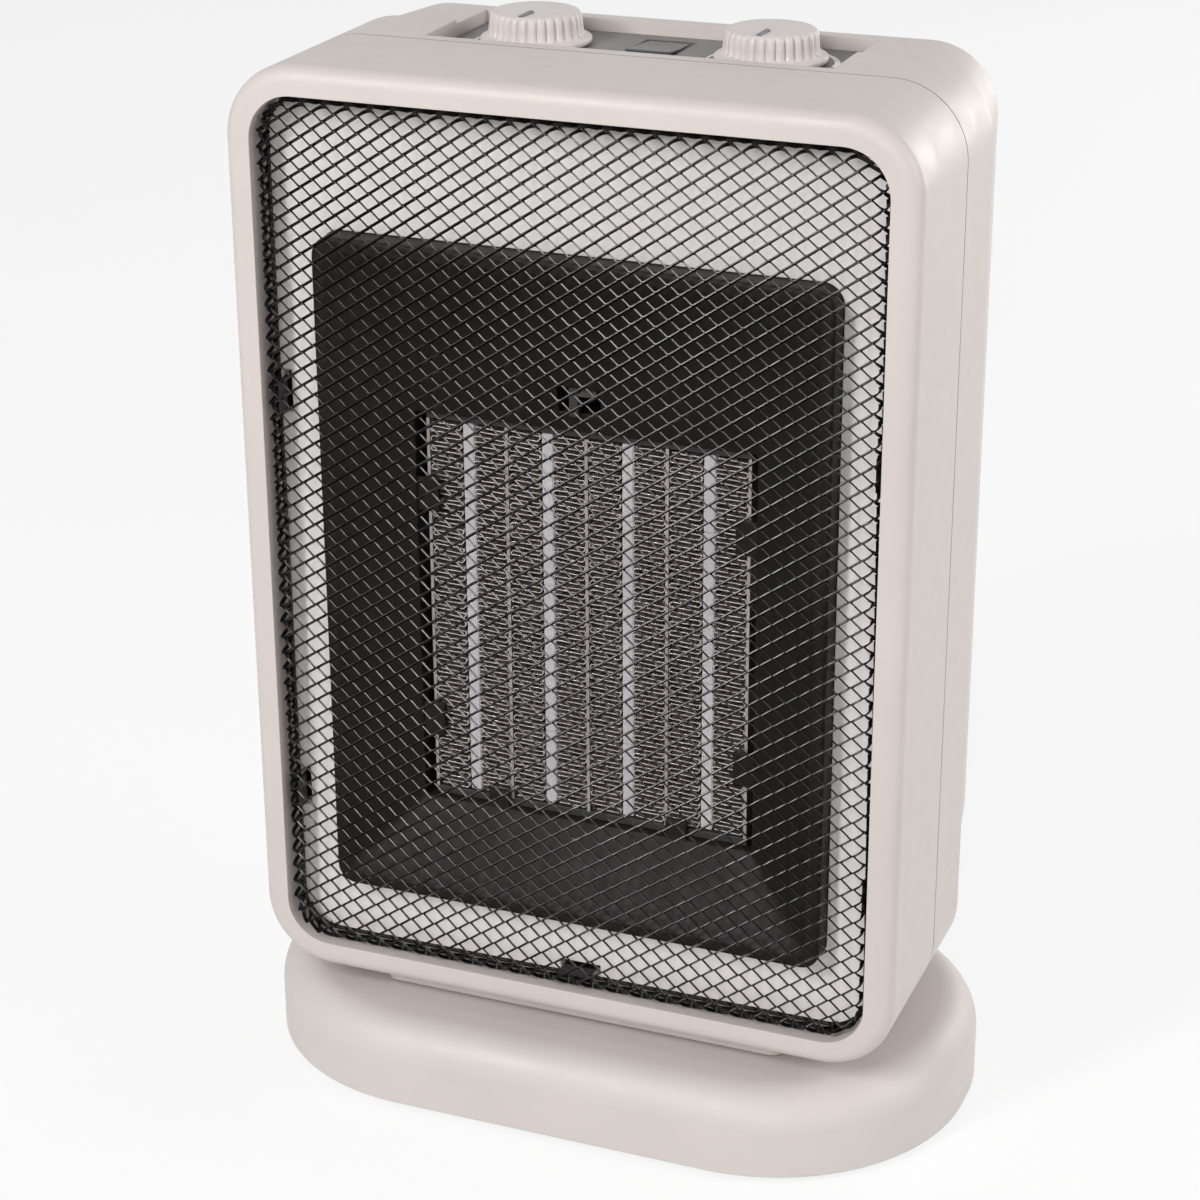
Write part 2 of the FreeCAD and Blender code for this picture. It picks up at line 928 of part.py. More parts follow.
shell.pocket(
    shell.outline(
        "XZ_Plane", -dish_front, (-window_half, window_half), (window_low, window_high), size(1.0)
    ),
    sleeve_back - dish_front + 1,
)
tab_parts = []
for share, spot in ((0.195, "lower"), (0.805, "upper")):
    middle = element_low + cell("element_height") * share
    for sign, side in ((-1, "left"), (1, "right")):
        inner = element_half - cell("tab_reach")
        outer = window_half + 1
        xs = (inner, outer) if sign > 0 else (-outer, -inner)
        tab_parts.append(
            box(
                f"dish_tab_{side}_{spot}",
                xs,
                (element_face - 1.6, element_face - 0.2),
                (middle - cell("tab_height") / 2, middle + cell("tab_height") / 2),
            )
        )
for sign, side in ((-1, "left"), (1, "right")):
    middle = sign * 0.57 * element_half
    tab_parts.append(
        box(
            f"dish_tab_foot_{side}",
            (middle - 3, middle + 3),
            (element_face - 1.6, element_face - 0.2),
            (window_low - 1, element_low + 2.4),
        )
    )
dish_bosses = [
    rod(f"dish_boss_{number}", "y", boss, dish_back + 0.5, sleeve_back, spot)
    for number, spot in enumerate(shroud_spots)
]
dish_holes = [
    rod(f"dish_pilot_{number}", "y", screw, sleeve_back - 8, sleeve_back + 1, spot)
    for number, spot in enumerate(shroud_spots)
]
dish_holes += [
    rod(f"dish_hole_{number}", "y", screw_hole, panel_back - 1, dish_back + dish_wall + 1, spot)
    for number, spot in enumerate(dish_spots)
]
clip_low = window_high + 5.6
dish_holes.append(
    box("dish_clip_hole", (-6, 6), (dish_front - 1, dish_back + dish_wall + 1), (clip_low, clip_low + 7.5))
)
keep(
    "outlet_dish",
    cut("outlet_dish", fuse("dish_joined", shell.body, *tab_parts, *dish_bosses), *dish_holes),
)
dish_screws = []
for number, spot in enumerate(dish_spots):
    seat = dish_back + dish_wall
    shank = rod(f"dish_screw_shank_{number}", "y", screw, panel_back - 1.6, seat + 0.5, spot)
    cap = rod(f"dish_screw_cap_{number}", "y", screw_head - 0.6, seat, seat + screw_seat, spot)
    dish_screws.append(fuse(f"dish_screw_{number}", shank, cap))
keep("dish_screws", group("dish_screws", dish_screws))

# Heating element

fin = cell("fin_width")
ceramic = cell("ceramic_width")
plate = cell("plate_sheet")
module = 2 * fin + ceramic + plate
fin_columns = []
strips = []
plates = []
for number in range(5):
    start = -element_half + module * number
    plates.append(
        box(
            f"element_plate_{number}",
            (start, start + plate),
            (element_face, element_back),
            (element_low, element_high),
        )
    )
for number in range(4):
    start = -element_half + module * number + plate
    fin_columns += [start, start + fin + ceramic]
    strips.append(
        box(
            f"element_strip_{number}",
            (start + fin, start + fin + ceramic),
            (element_face + 0.3, element_back - 0.3),
            (element_low, element_high),
        )
    )
keep("contact_plates", group("contact_plates", plates))
keep("ptc_strips", group("ptc_strips", strips))
waves = int(cell("fin_waves").value)
fin_sheet = cell("fin_sheet").value
fin_pitch = (cell("element_height").value - 2 * fin_sheet) / (2 * waves)
fins = []
for start in fin_columns:
    left = start.value
    right = left + fin.value
    near_side = []
    far_side = []
    level_z = element_low.value + fin_sheet
    for number in range(2 * waves):
        low_z = level_z + number * fin_pitch
        high_z = low_z + fin_pitch
        ahead = number % 2 == 0
        edge = right if ahead else left
        other = left if ahead else right
        inward = -fin_sheet if ahead else fin_sheet
        if number == 0:
            near_side += [(other, low_z - fin_sheet / 2)]
            far_side += [(other, low_z + fin_sheet / 2)]
        outer_run = [(edge, low_z - fin_sheet / 2), (edge, high_z + fin_sheet / 2)]
        inner_run = [(edge + inward, low_z + fin_sheet / 2), (edge + inward, high_z - fin_sheet / 2)]
        if ahead:
            near_side += outer_run
            far_side += inner_run
        else:
            near_side += inner_run
            far_side += outer_run
    last = left if (2 * waves) % 2 == 0 else right
    end_z = level_z + 2 * waves * fin_pitch
    if (2 * waves - 1) % 2 == 0:
        near_side += [(left, end_z + fin_sheet / 2)]
        far_side += [(left, end_z - fin_sheet / 2)]
    else:
        near_side += [(right, end_z - fin_sheet / 2)]
        far_side += [(right, end_z + fin_sheet / 2)]
    ring = near_side + far_side[::-1]
    ring.append(ring[0])
    wire = Part.makePolygon([FreeCAD.Vector(u, element_face.value + 0.2, v) for u, v in ring])
    fins.append(Part.Face(wire).extrude(FreeCAD.Vector(0, cell("element_depth").value - 0.4, 0)))
keep("heater_fins", solid("heater_fins", Part.makeCompound(fins)))
cap_parts = []
for name, low_z, high_z in (
    ("low", element_low - window + 0.3, element_low),
    ("high", element_high, element_high + window - 0.3),
):
    cap_parts.append(
        box(
            f"element_cap_{name}",
            (-element_half, element_half),
            (element_face + 0.3, element_back),
            (low_z, high_z),
        )
    )
keep("heater_end_caps", group("heater_end_caps", cap_parts))

# Fan shroud

throat = cell("throat_radius")
shroud_wall = cell("shroud_wall")
shroud_front = sleeve_back
shroud_back = shroud_front + cell("shroud_length")
motor_front = shroud_back - 3
motor_back = motor_front + cell("motor_length")
can_radius = cell("motor_radius")
collar = can_radius + cell("motor_fit") + 2.5
shell = Shell("shroud_shell")
shell.pad(
    shell.outline(
        "XZ_Plane",
        -shroud_front,
        (-throat - 5, throat + 5),
        (element_low - 13, element_high + 24),
        size(6.0),
    ),
    shroud_wall,
    back=True,
)
shell.pad(
    shell.circles("XZ_Plane", -shroud_front, [(0, fan_height)], throat + shroud_wall),
    cell("shroud_length"),
    back=True,
)
shell.pocket(
    shell.circles("XZ_Plane", -shroud_front, [(0, fan_height)], throat),
    cell("shroud_length") + 1,
)
spokes = []
for number in range(4):
    spoke = box(
        f"shroud_spoke_{number}",
        (can_radius + 1, throat + 1),
        (shroud_back - 6, shroud_back),
        (-1.6, 1.6),
    )
    spoke.Placement = FreeCAD.Placement(
        FreeCAD.Vector(), FreeCAD.Rotation(FreeCAD.Vector(0, 1, 0), 45 + 90 * number)
    )
    turn = math.radians(45 + 90 * number)
    reach = can_radius + 1
    place(
        spoke,
        reach * math.cos(turn) - 1.6 * math.sin(turn),
        shroud_back - 6,
        fan_height - reach * math.sin(turn) - 1.6 * math.cos(turn),
    )
    spokes.append(spoke)
shroud_collar = rod("shroud_collar", "y", collar, motor_front - 3, shroud_back + 4, (0, fan_height))
shroud_bore = rod(
    "shroud_bore",
    "y",
    can_radius + cell("motor_fit"),
    motor_front - 0.02,
    shroud_back + 8,
    (0, fan_height),
)
shroud_eye = rod("shroud_eye", "y", 7.5, motor_front - 5, motor_front + 1, (0, fan_height))
shroud_holes = [
    rod(f"shroud_hole_{number}", "y", screw_hole, shroud_front - 1, shroud_front + shroud_wall + 1, spot)
    for number, spot in enumerate(shroud_spots)
]
keep(
    "fan_shroud",
    cut(
        "fan_shroud",
        fuse("shroud_joined", shell.body, shroud_collar, *spokes),
        shroud_bore,
        shroud_eye,
        *shroud_holes,
    ),
)
shroud_screws = []
for number, spot in enumerate(shroud_spots):
    seat = shroud_front + shroud_wall
    shank = rod(f"shroud_screw_shank_{number}", "y", screw, sleeve_back - 7, seat + 0.5, spot)
    cap = rod(f"shroud_screw_cap_{number}", "y", screw_head, seat, seat + screw_seat, spot)
    shroud_screws.append(fuse(f"shroud_screw_{number}", shank, cap))
keep("shroud_screws", group("shroud_screws", shroud_screws))

# Fan motor

can_wall = cell("can_wall")
axle = (0, fan_height)
shaft = cell("shaft_radius")
bush_bore = shaft + cell("shaft_fit")
bush_out = size(4.0)
can_body = rod("motor_can_body", "y", can_radius, motor_front, motor_back - 3, axle)
can_hollow = rod("motor_can_hollow", "y", can_radius - can_wall, motor_front + can_wall, motor_back, axle)
can_eye = rod("motor_can_eye", "y", bush_out, motor_front - 1, motor_front + 3, axle)
keep("motor_can", cut("motor_can", can_body, can_hollow, can_eye))
cap_disc = rod("motor_cap_disc", "y", can_radius, motor_back - 3, motor_back, axle)
cap_plug = rod(
    "motor_cap_plug", "y", can_radius - can_wall - cell("motor_fit"), motor_back - 5, motor_back - 2.5, axle
)
cap_eye = rod("motor_cap_eye", "y", bush_out, motor_back - 6, motor_back + 1, axle)
cap_leads = [
    box(
        f"motor_lead_{side}",
        (x - 1.5, x + 1.5),
        (motor_back - 0.5, motor_back + 5),
        (fan_height + 8, fan_height + 8.8),
    )
    for side, x in (("left", size(-8.0)), ("right", size(8.0)))
]
keep(
    "motor_end_cap",
    fuse(
        "motor_end_cap",
        cut("motor_cap_body", fuse("motor_cap_joined", cap_disc, cap_plug), cap_eye),
        *cap_leads,
    ),
)
front_bush = tube("motor_bush_front", "y", bush_out, bush_bore, motor_front - 1, motor_front + 3, axle)
rear_bush = tube("motor_bush_rear", "y", bush_out, bush_bore, motor_back - 5, motor_back, axle)
keep("motor_bushes", group("motor_bushes", [front_bush, rear_bush]))
hub_back = motor_front - 5.5
hub_front = hub_back - cell("hub_length")
shaft_rod = rod("motor_shaft_rod", "y", shaft, hub_front - 3, motor_back - 1, axle)
rotor_core = rod("motor_rotor_core", "y", cell("rotor_radius"), motor_front + 6, motor_back - 8, axle)
rotor_wind = rod(
    "motor_rotor_wind",
    "y",
    cell("rotor_radius") - 3,
    motor_front + 4.5,
    motor_back - 6.5,
    axle,
)
keep("motor_rotor", fuse("motor_rotor", shaft_rod, rotor_core, rotor_wind))

# Impeller

tip_radius = throat - cell("tip_clearance")
hub_body = rod("impeller_hub", "y", cell("hub_radius"), hub_front, hub_back, axle)
hub_nose = cone(
    "impeller_nose",
    "y",
    cell("hub_radius") - 5,
    cell("hub_radius"),
    hub_front - 3,
    hub_front,
    axle,
)
hub_hollow = rod("impeller_hollow", "y", cell("hub_radius") - 2, hub_front + 5, hub_back + 1, axle)
hub_stem = rod("impeller_stem", "y", 4.5, hub_front, hub_back, axle)
hub_eye = rod("impeller_eye", "y", shaft, hub_front - 5, hub_back + 1, axle)
blade_shapes = []
blade_mid = (hub_front.value + hub_back.value) / 2
chord = cell("blade_chord").value
thick = cell("blade_sheet").value
tip_drum = Part.makeCylinder(
    tip_radius.value, 80, FreeCAD.Vector(0, blade_mid - 40, 0), FreeCAD.Vector(0, 1, 0)
)
for number in range(7):
    sections = []
    for radius, pitch, width in (
        (cell("hub_radius").value - 1.2, 46.0, 0.55),
        ((cell("hub_radius").value + tip_radius.value) / 2, 33.0, 0.85),
        (tip_radius.value + 3.0, 24.0, 1.0),
    ):
        lean = math.radians(pitch)
        along = (math.cos(lean), math.sin(lean))
        span = chord * width * 0.5
        spots = []
        for u, w in ((-1, -1), (1, -1), (1, 1), (-1, 1), (-1, -1)):
            x = u * span * along[0] - w * thick / 2 * along[1]
            y = u * span * along[1] + w * thick / 2 * along[0]
            spots.append(FreeCAD.Vector(x, blade_mid + y, radius))
        sections.append(Part.makePolygon(spots))
    blade = Part.makeLoft(sections, True, False).common(tip_drum)
    blade.rotate(FreeCAD.Vector(0, 0, 0), FreeCAD.Vector(0, 1, 0), 360.0 / 7 * number)
    blade.translate(FreeCAD.Vector(0, 0, fan_height.value))
    blade_shapes.append(blade)
blades = solid("impeller_blades", Part.makeCompound(blade_shapes))
hub_whole = fuse(
    "impeller_core",
    cut("impeller_cup", fuse("impeller_round", hub_body, hub_nose), hub_hollow),
    hub_stem,
)
inner_clear = rod("impeller_clear", "y", cell("hub_radius") - 2, hub_front + 5, hub_back + 8, axle)
stem_again = rod("impeller_stem_keep", "y", 4.5, hub_front + 4, hub_back, axle)
keep(
    "impeller",
    cut(
        "impeller",
        fuse(
            "impeller_joined",
            cut("impeller_trim", fuse("impeller_bladed", hub_whole, blades), inner_clear),
            stem_again,
        ),
        hub_eye,
    ),
)
nut_low = hub_front - 5.2
keep("impeller_nut", tube("impeller_nut", "y", 3.4, shaft, nut_low, hub_front - 3, axle))

# Overheat cutout and terminal block

cutout_z = element_high + 14
cutout_seat = shroud_front + shroud_wall
cutout_cup = rod("cutout_cup", "y", 7.5, cutout_seat + 1, cutout_seat + 8, (element_half - 10, cutout_z))
cutout_ear = box(
    "cutout_ear",
    (element_half - 22, element_half + 2),
    (cutout_seat, cutout_seat + 1.2),
    (cutout_z - 6, cutout_z + 6),
)
cutout_legs = [
    box(
        f"cutout_leg_{side}",
        (element_half - 10 + shift - 2, element_half - 10 + shift + 2),
        (cutout_seat + 7.5, cutout_seat + 15),
        (cutout_z - 0.4, cutout_z + 0.4),
    )
    for side, shift in (("left", -4.0), ("right", 4.0))
]
keep("overheat_cutout", fuse("overheat_cutout", cutout_cup, cutout_ear, *cutout_legs))
block_low = bottom + wall
block_body = box("terminal_body", (-14, 14), (panel_back + 9, panel_back + 19), (block_low, block_low + 10))
block_holes = []
for number in range(3):
    x = size(-8.5 + 8.5 * number)
    block_holes.append(
        rod(f"terminal_hole_{number}", "y", 1.8, panel_back, panel_back + 30, (x, block_low + 4)),
    )
    block_holes.append(
        rod(f"terminal_well_{number}", "z", 1.8, block_low + 5, block_low + 12, (x, panel_back + 14)),
    )
keep("terminal_block", cut("terminal_block", block_body, *block_holes))

# Housing screws

housing_screws = []
for number, spot in enumerate(housing_spots):
    seat = seam + 8
    shank = rod(f"housing_screw_shank_{number}", "y", screw, seam - 12, seat + 0.5, spot)
    cap = rod(f"housing_screw_cap_{number}", "y", screw_head, seat, seat + screw_seat, spot)
    housing_screws.append(fuse(f"housing_screw_{number}", shank, cap))
keep("housing_screws", group("housing_screws", housing_screws))

# Control panel, switches and knobs

panel_top = control_bed + 1.2 + cell("control_lip")
panel_low = control_bed - 2.2
knob_x = cell("knob_spacing") / 2
spindle = cell("spindle_radius")
spindle_hole = spindle + 0.4
control_plate = box(
    "control_plate",
    (-control_half, control_half),
    (control_mid - control_reach, control_mid + control_reach),
    (control_bed, panel_top),
)
control_plug = box(
    "control_plug",
    (-control_half + hole_edge + cell("control_fit"), control_half - hole_edge - cell("control_fit")),
    (
        control_mid - control_reach + hole_edge + cell("control_fit"),
        control_mid + control_reach - hole_edge - cell("control_fit"),
    ),
    (panel_low, control_bed + 0.5),
)
rocker_w = cell("rocker_width") / 2
rocker_l = cell("rocker_length") / 2
rocker_y = control_mid + 5
lens = cell("lens_radius")
lens_y = control_mid - 13
control_holes = [
    rod(f"control_hole_{side}", "z", spindle_hole, panel_low - 1, panel_top + 1, (x, control_mid))
    for side, x in (("left", -knob_x), ("right", knob_x))
]
frame_edge = size(1.4)
control_holes.append(
    box(
        "control_rocker_hole",
        (-rocker_w - frame_edge, rocker_w + frame_edge),
        (rocker_y - rocker_l - frame_edge, rocker_y + rocker_l + frame_edge),
        (panel_low - 1, panel_top + 1),
    )
)
control_holes.append(rod("control_lens_hole", "z", lens, panel_low - 1, panel_top + 1, (0, lens_y)))
keep(
    "control_panel",
    cut("control_panel", fuse("control_joined", control_plate, control_plug), *control_holes),
)
knob_low = panel_top + cell("knob_gap")
knob_top = knob_low + cell("knob_height")
switch_half = cell("switch_side") / 2
for name, side, x in (("mode", "mode_switch", -knob_x), ("thermostat", "thermostat", knob_x)):
    case = box(
        f"{name}_case",
        (x - switch_half, x + switch_half),
        (control_mid - switch_half, control_mid + switch_half),
        (panel_low - cell("switch_height"), panel_low),
    )
    case_hole = rod(
        f"{name}_case_hole",
        "z",
        spindle + cell("spindle_fit"),
        panel_low - 10,
        panel_low + 1,
        (x, control_mid),
    )
    lugs = [
        box(
            f"{name}_lug_{number}",
            (x - 9 + 9 * number - 2.4, x - 9 + 9 * number + 2.4),
            (control_mid - 0.4, control_mid + 0.4),
            (panel_low - cell("switch_height") - 7, panel_low - cell("switch_height") + 1),
        )
        for number in range(3)
    ]
    keep(side, fuse(side, cut(f"{name}_body", case, case_hole), *lugs))
    keep(
        f"{name}_spindle",
        rod(f"{name}_spindle", "z", spindle, panel_low - 9.5, knob_low + 7, (x, control_mid)),
    )
    skirt = rod(f"{name}_knob_skirt", "z", cell("knob_radius"), knob_low, knob_low + 2.5, (x, control_mid))
    drum = cone(
        f"{name}_knob_drum",
        "z",
        cell("knob_radius") - 1.6,
        cell("knob_radius") - 2.8,
        knob_low + 2,
        knob_top,
        (x, control_mid),
    )
    pointer = box(
        f"{name}_knob_pointer",
        (x - 0.9, x + 0.9),
        (control_mid - cell("knob_radius") + 4.5, control_mid - 4),
        (knob_top - 1, knob_top + 0.5),
    )
    socket = rod(f"{name}_knob_socket", "z", spindle, knob_low - 1, knob_low + 7, (x, control_mid))
    knob = cut(f"{name}_knob", fuse(f"{name}_knob_joined", skirt, drum, pointer), socket)
    keep(f"{name}_knob", knob)
rocker_pivot = panel_top - 1.5
rocker_case = box(
    "rocker_case_body",
    (-rocker_w - frame_edge, rocker_w + frame_edge),
    (rocker_y - rocker_l - frame_edge, rocker_y + rocker_l + frame_edge),
    (panel_low - 12, panel_top),
)
rocker_well = box(
    "rocker_case_well",
    (-rocker_w - cell("rocker_fit"), rocker_w + cell("rocker_fit")),
    (rocker_y - rocker_l - cell("rocker_fit"), rocker_y + rocker_l + cell("rocker_fit")),
    (panel_low - 7, panel_top + 1),
)
rocker_axle = rod(
    "rocker_axle",
    "x",
    1.2,
    -rocker_w - frame_edge,
    rocker_w + frame_edge,
    (rocker_y, rocker_pivot),
)
keep("rocker_case", fuse("rocker_case", cut("rocker_case_hollow", rocker_case, rocker_well), rocker_axle))
lean = math.radians(9.0)
run = rocker_l.value - 0.2
drop = run * math.tan(lean)
pivot_z = rocker_pivot.value
profile = [
    (-run, pivot_z - 2.6),
    (0.0, pivot_z - 3.6),
    (run, pivot_z - 2.6),
    (run, pivot_z + 1.4),
    (0.0, pivot_z + 1.9),
    (-run, pivot_z + 1.4 + 2 * drop * 0.55),
    (-run, pivot_z - 2.6),
]
rocker_wire = Part.makePolygon(
    [FreeCAD.Vector(-rocker_w.value, rocker_y.value + u, v) for u, v in profile]
)
rocker_slab = solid(
    "rocker_slab", Part.Face(rocker_wire).extrude(FreeCAD.Vector(cell("rocker_width").value, 0, 0))
)
rocker_eye = rod("rocker_eye", "x", 1.25, -rocker_w - 1, rocker_w + 1, (rocker_y, rocker_pivot))
keep("oscillation_rocker", cut("oscillation_rocker", rocker_slab, rocker_eye))
lens_stem = rod("lens_stem", "z", lens, panel_low - 4, panel_top + 0.2, (0, lens_y))
lens_dome = cone("lens_dome", "z", lens, lens - 1.2, panel_top + 0.2, panel_top + 1.2, (0, lens_y))
keep("indicator_lens", fuse("indicator_lens", lens_stem, lens_dome))

# Swivel plinth under the head

base_top = cell("base_height")
plinth_low = base_top + cell("plinth_gap")
pivot = cell("pivot_radius")
pivot_end = cell("plate_lift") + cell("plate_wall") + 2.6 + cell("gear_width")
plinth_mid = cell("plinth_offset")
plinth_half = cell("plinth_width") / 2
plinth_reach = cell("plinth_depth") / 2
shell = Shell("plinth_shell")
shell.pad(
    shell.outline(
        "XY_Plane",
        plinth_low,
        (-plinth_half, plinth_half),
        (plinth_mid - plinth_reach, plinth_mid + plinth_reach),
        size(4.0),
    ),
    bottom - plinth_low,
)
pivot_rod = rod("plinth_pivot", "z", pivot, pivot_end, plinth_low + 1, (0, 0))
pivot_bore = rod("plinth_bore", "z", cell("pivot_bore"), pivot_end - 1, bottom + 1, (0, 0))
plinth_holes = []
for number, spot in enumerate(plinth_spots):
    plinth_holes.append(rod(f"plinth_hole_{number}", "z", screw_hole, plinth_low - 1, bottom + 1, spot))
    plinth_holes.append(
        rod(f"plinth_seat_{number}", "z", screw_head + 0.4, plinth_low - 1, plinth_low + 2.2, spot)
    )
sector_spots = [
    (12.5 * math.cos(math.radians(turn)), 12.5 * math.sin(math.radians(turn)))
    for turn in (45, 135, 225, 315)
]
small = size(1.1)
plinth_holes += [
    rod(f"plinth_pilot_{number}", "z", small, pivot_end - 1, pivot_end + 6, spot)
    for number, spot in enumerate(sector_spots)
]
keep(
    "swivel_plinth",
    cut("swivel_plinth", fuse("plinth_joined", shell.body, pivot_rod), pivot_bore, *plinth_holes),
)
plinth_screws = []
for number, spot in enumerate(plinth_spots):
    shank = rod(f"plinth_screw_shank_{number}", "z", screw, plinth_low + 1.5, bottom + 10, spot)
    cap = rod(f"plinth_screw_cap_{number}", "z", screw_head, plinth_low + 0.4, plinth_low + 2.2, spot)
    plinth_screws.append(fuse(f"plinth_screw_{number}", shank, cap))
keep("plinth_screws", group("plinth_screws", plinth_screws))

# Gear pair of the swivel drive


def gear_wire(teeth, first, count, rim_radius, tall, deep):
    """Give the closed outline of an involute gear, or of a sector with a plain rim."""
    module_size = cell("tooth_module").value
    pitch_radius = module_size * teeth / 2
    pressure = math.radians(20.0)
    base_radius = pitch_radius * math.cos(pressure)
    tip = pitch_radius + tall * module_size
    root = pitch_radius - deep * module_size
    spread = math.tan(pressure) - pressure
    half_tooth = math.pi / (2 * teeth) - cell("tooth_backlash").value / 2 / pitch_radius
    lowest = max(base_radius, root)
    radii = [lowest + (tip - lowest) * step_share / 4.0 for step_share in range(5)]
    flank = []
    for radius in radii:
        swing = math.acos(min(1.0, base_radius / radius))
        flank.append((radius, half_tooth + spread - (math.tan(swing) - swing)))
    spots = []
    for number in range(count):
        centre = first + 2 * math.pi / teeth * number
        start = flank[0][1]
        spots.append((root, centre - start))
        spots += [(radius, centre - turn) for radius, turn in flank]
        spots += [(radius, centre + turn) for radius, turn in reversed(flank)]
        spots.append((root, centre + start))
    if rim_radius:
        last = spots[-1][1]
        begin = spots[0][1]
        steps = 24
        remain = 2 * math.pi - (last - begin)
        spots += [(rim_radius, last + remain * share / steps) for share in range(1, steps)]
    vectors = [
        FreeCAD.Vector(radius * math.cos(turn), radius * math.sin(turn), 0) for radius, turn in spots
    ]
    return Part.makePolygon(vectors + [vectors[0]])


sector_count = int(round(cell("sector_teeth").value * cell("sector_span").value / 360.0))
if sector_count % 2 == 0:
    sector_count += 1
tooth_turn = 2 * math.pi / cell("sector_teeth").value
gear_low = pivot_end - cell("gear_width")
sector_face = Part.Face(
    gear_wire(
        cell("sector_teeth").value,
        -tooth_turn * (sector_count - 1) / 2,
        sector_count,
        24.0,
        0.8,
        1.1,
    )
)
sector_slab = sector_face.extrude(FreeCAD.Vector(0, 0, cell("gear_width").value))
sector_slab.translate(FreeCAD.Vector(0, 0, gear_low.value))
sector_plate = solid("sector_plate", sector_slab)
collar_top = base_top - cell("base_wall") - cell("bush_wall") - 0.4
sector_collar = rod("sector_collar", "z", pivot + 3.5, pivot_end - 0.5, collar_top, (0, 0))
sector_core = rod("sector_core", "z", pivot + 0.02, pivot_end, collar_top + 1, (0, 0))
sector_eye = rod("sector_eye", "z", cell("pivot_bore"), gear_low - 1, pivot_end + 1, (0, 0))
sector_holes = [
    rod(f"sector_hole_{number}", "z", small + 0.2, gear_low - 1, pivot_end + 0.5, spot)
    for number, spot in enumerate(sector_spots)
]
keep(
    "drive_sector",
    cut(
        "drive_sector",
        fuse("sector_joined", sector_plate, sector_collar),
        sector_core,
        sector_eye,
        *sector_holes,
    ),
)
sector_screws = []
for number, spot in enumerate(sector_spots):
    shank = rod(f"sector_screw_shank_{number}", "z", small, gear_low - 0.5, pivot_end + 5, spot)
    cap = rod(f"sector_screw_cap_{number}", "z", 1.9, gear_low - 1.4, gear_low, spot)
    sector_screws.append(fuse(f"sector_screw_{number}", shank, cap))
keep("sector_screws", group("sector_screws", sector_screws))
drive_x = cell("tooth_module") * (cell("sector_teeth") + cell("pinion_teeth")) / 2
pinion_count = int(cell("pinion_teeth").value)
pinion_first = math.pi + math.pi / pinion_count
pinion_face = Part.Face(gear_wire(pinion_count, pinion_first, pinion_count, 0.0, 0.8, 1.1))
pinion_slab = pinion_face.extrude(FreeCAD.Vector(0, 0, cell("gear_width").value + 1))
pinion_slab.translate(FreeCAD.Vector(drive_x.value, 0, gear_low.value - 0.5))
pinion_axle = size(2.5)
drive_low = gear_low + cell("gear_width") + 1.6
drive_top = drive_low + cell("drive_height")
pinion_eye = rod("pinion_eye", "z", pinion_axle, gear_low - 3, gear_low + 12, (drive_x, 0))
keep("drive_pinion", cut("drive_pinion", solid("pinion_blank", pinion_slab), pinion_eye))
keep("pinion_shaft", rod("pinion_shaft", "z", pinion_axle, gear_low - 0.8, drive_low + 5, (drive_x, 0)))
drive_can = rod("drive_can", "z", cell("drive_radius"), drive_low, drive_top, (drive_x, 0))
drive_ears = box(
    "drive_ears",
    (drive_x - 3.5, drive_x + 3.5),
    (-cell("drive_radius") - 6, cell("drive_radius") + 6),
    (drive_top - 1.2, drive_top),
)
drive_eye = rod("drive_eye", "z", pinion_axle + 0.06, drive_low - 1, drive_low + 5.4, (drive_x, 0))
drive_spots = [(drive_x, -cell("drive_radius") - 3), (drive_x, cell("drive_radius") + 3)]
drive_holes = [
    rod(f"drive_hole_{number}", "z", small + 0.2, drive_top - 3, drive_top + 1, spot)
    for number, spot in enumerate(drive_spots)
]
keep(
    "oscillation_motor",
    cut("oscillation_motor", fuse("drive_joined", drive_can, drive_ears), drive_eye, *drive_holes),
)

# Base cover

plan_half = cell("base_width") / 2
plan_reach = cell("base_depth") / 2
skin = cell("base_wall")
base_low = cell("plate_lift")
ceiling = base_top - skin
bush_out_radius = pivot + cell("pivot_fit") + cell("bush_wall")
shell = Shell("base_shell")
shell.pad(
    shell.outline(
        "XY_Plane",
        base_low,
        (-plan_half, plan_half),
        (-plan_reach, plan_reach),
        cell("base_round"),
    ),
    base_top - base_low,
)
shell.round(cell("base_shoulder"), lambda edge: level(edge, "z", base_top))
shell.pocket(
    shell.outline(
        "XY_Plane",
        base_low,
        (-plan_half + skin, plan_half - skin),
        (-plan_reach + skin, plan_reach - skin),
        cell("base_round") - skin,
    ),
    ceiling - cell("base_shoulder") + skin - base_low,
    back=True,
)
shell.pocket(
    shell.outline(
        "XY_Plane",
        base_low + 1,
        (-plan_half + cell("base_shoulder"), plan_half - cell("base_shoulder")),
        (-plan_reach + cell("base_shoulder"), plan_reach - cell("base_shoulder")),
        cell("base_round") - cell("base_shoulder"),
    ),
    ceiling - base_low - 1,
    back=True,
)
plate_low = base_low
plate_top = base_low + cell("plate_wall")
base_spots = [
    (sign * (plan_half - 22), other * (plan_reach - 24)) for sign in (-1, 1) for other in (-1, 1)
]
base_bosses = [
    rod(f"base_boss_{number}", "z", boss, plate_top, ceiling + 0.5, spot)
    for number, spot in enumerate(base_spots)
]
base_bosses += [
    rod(f"base_drive_boss_{number}", "z", 2.6, drive_top, ceiling + 0.5, spot)
    for number, spot in enumerate(drive_spots)
]
base_holes = [
    rod(f"base_pilot_{number}", "z", screw, plate_top - 1, plate_top + 12, spot)
    for number, spot in enumerate(base_spots)
]
base_holes += [
    rod(f"base_drive_pilot_{number}", "z", small, drive_top - 1, drive_top + 3, spot)
    for number, spot in enumerate(drive_spots)
]
base_holes.append(rod("base_bush_hole", "z", bush_out_radius, ceiling - 1, base_top + 1, (0, 0)))
gland_z = plate_top + 5.8
gland = cell("gland_radius")
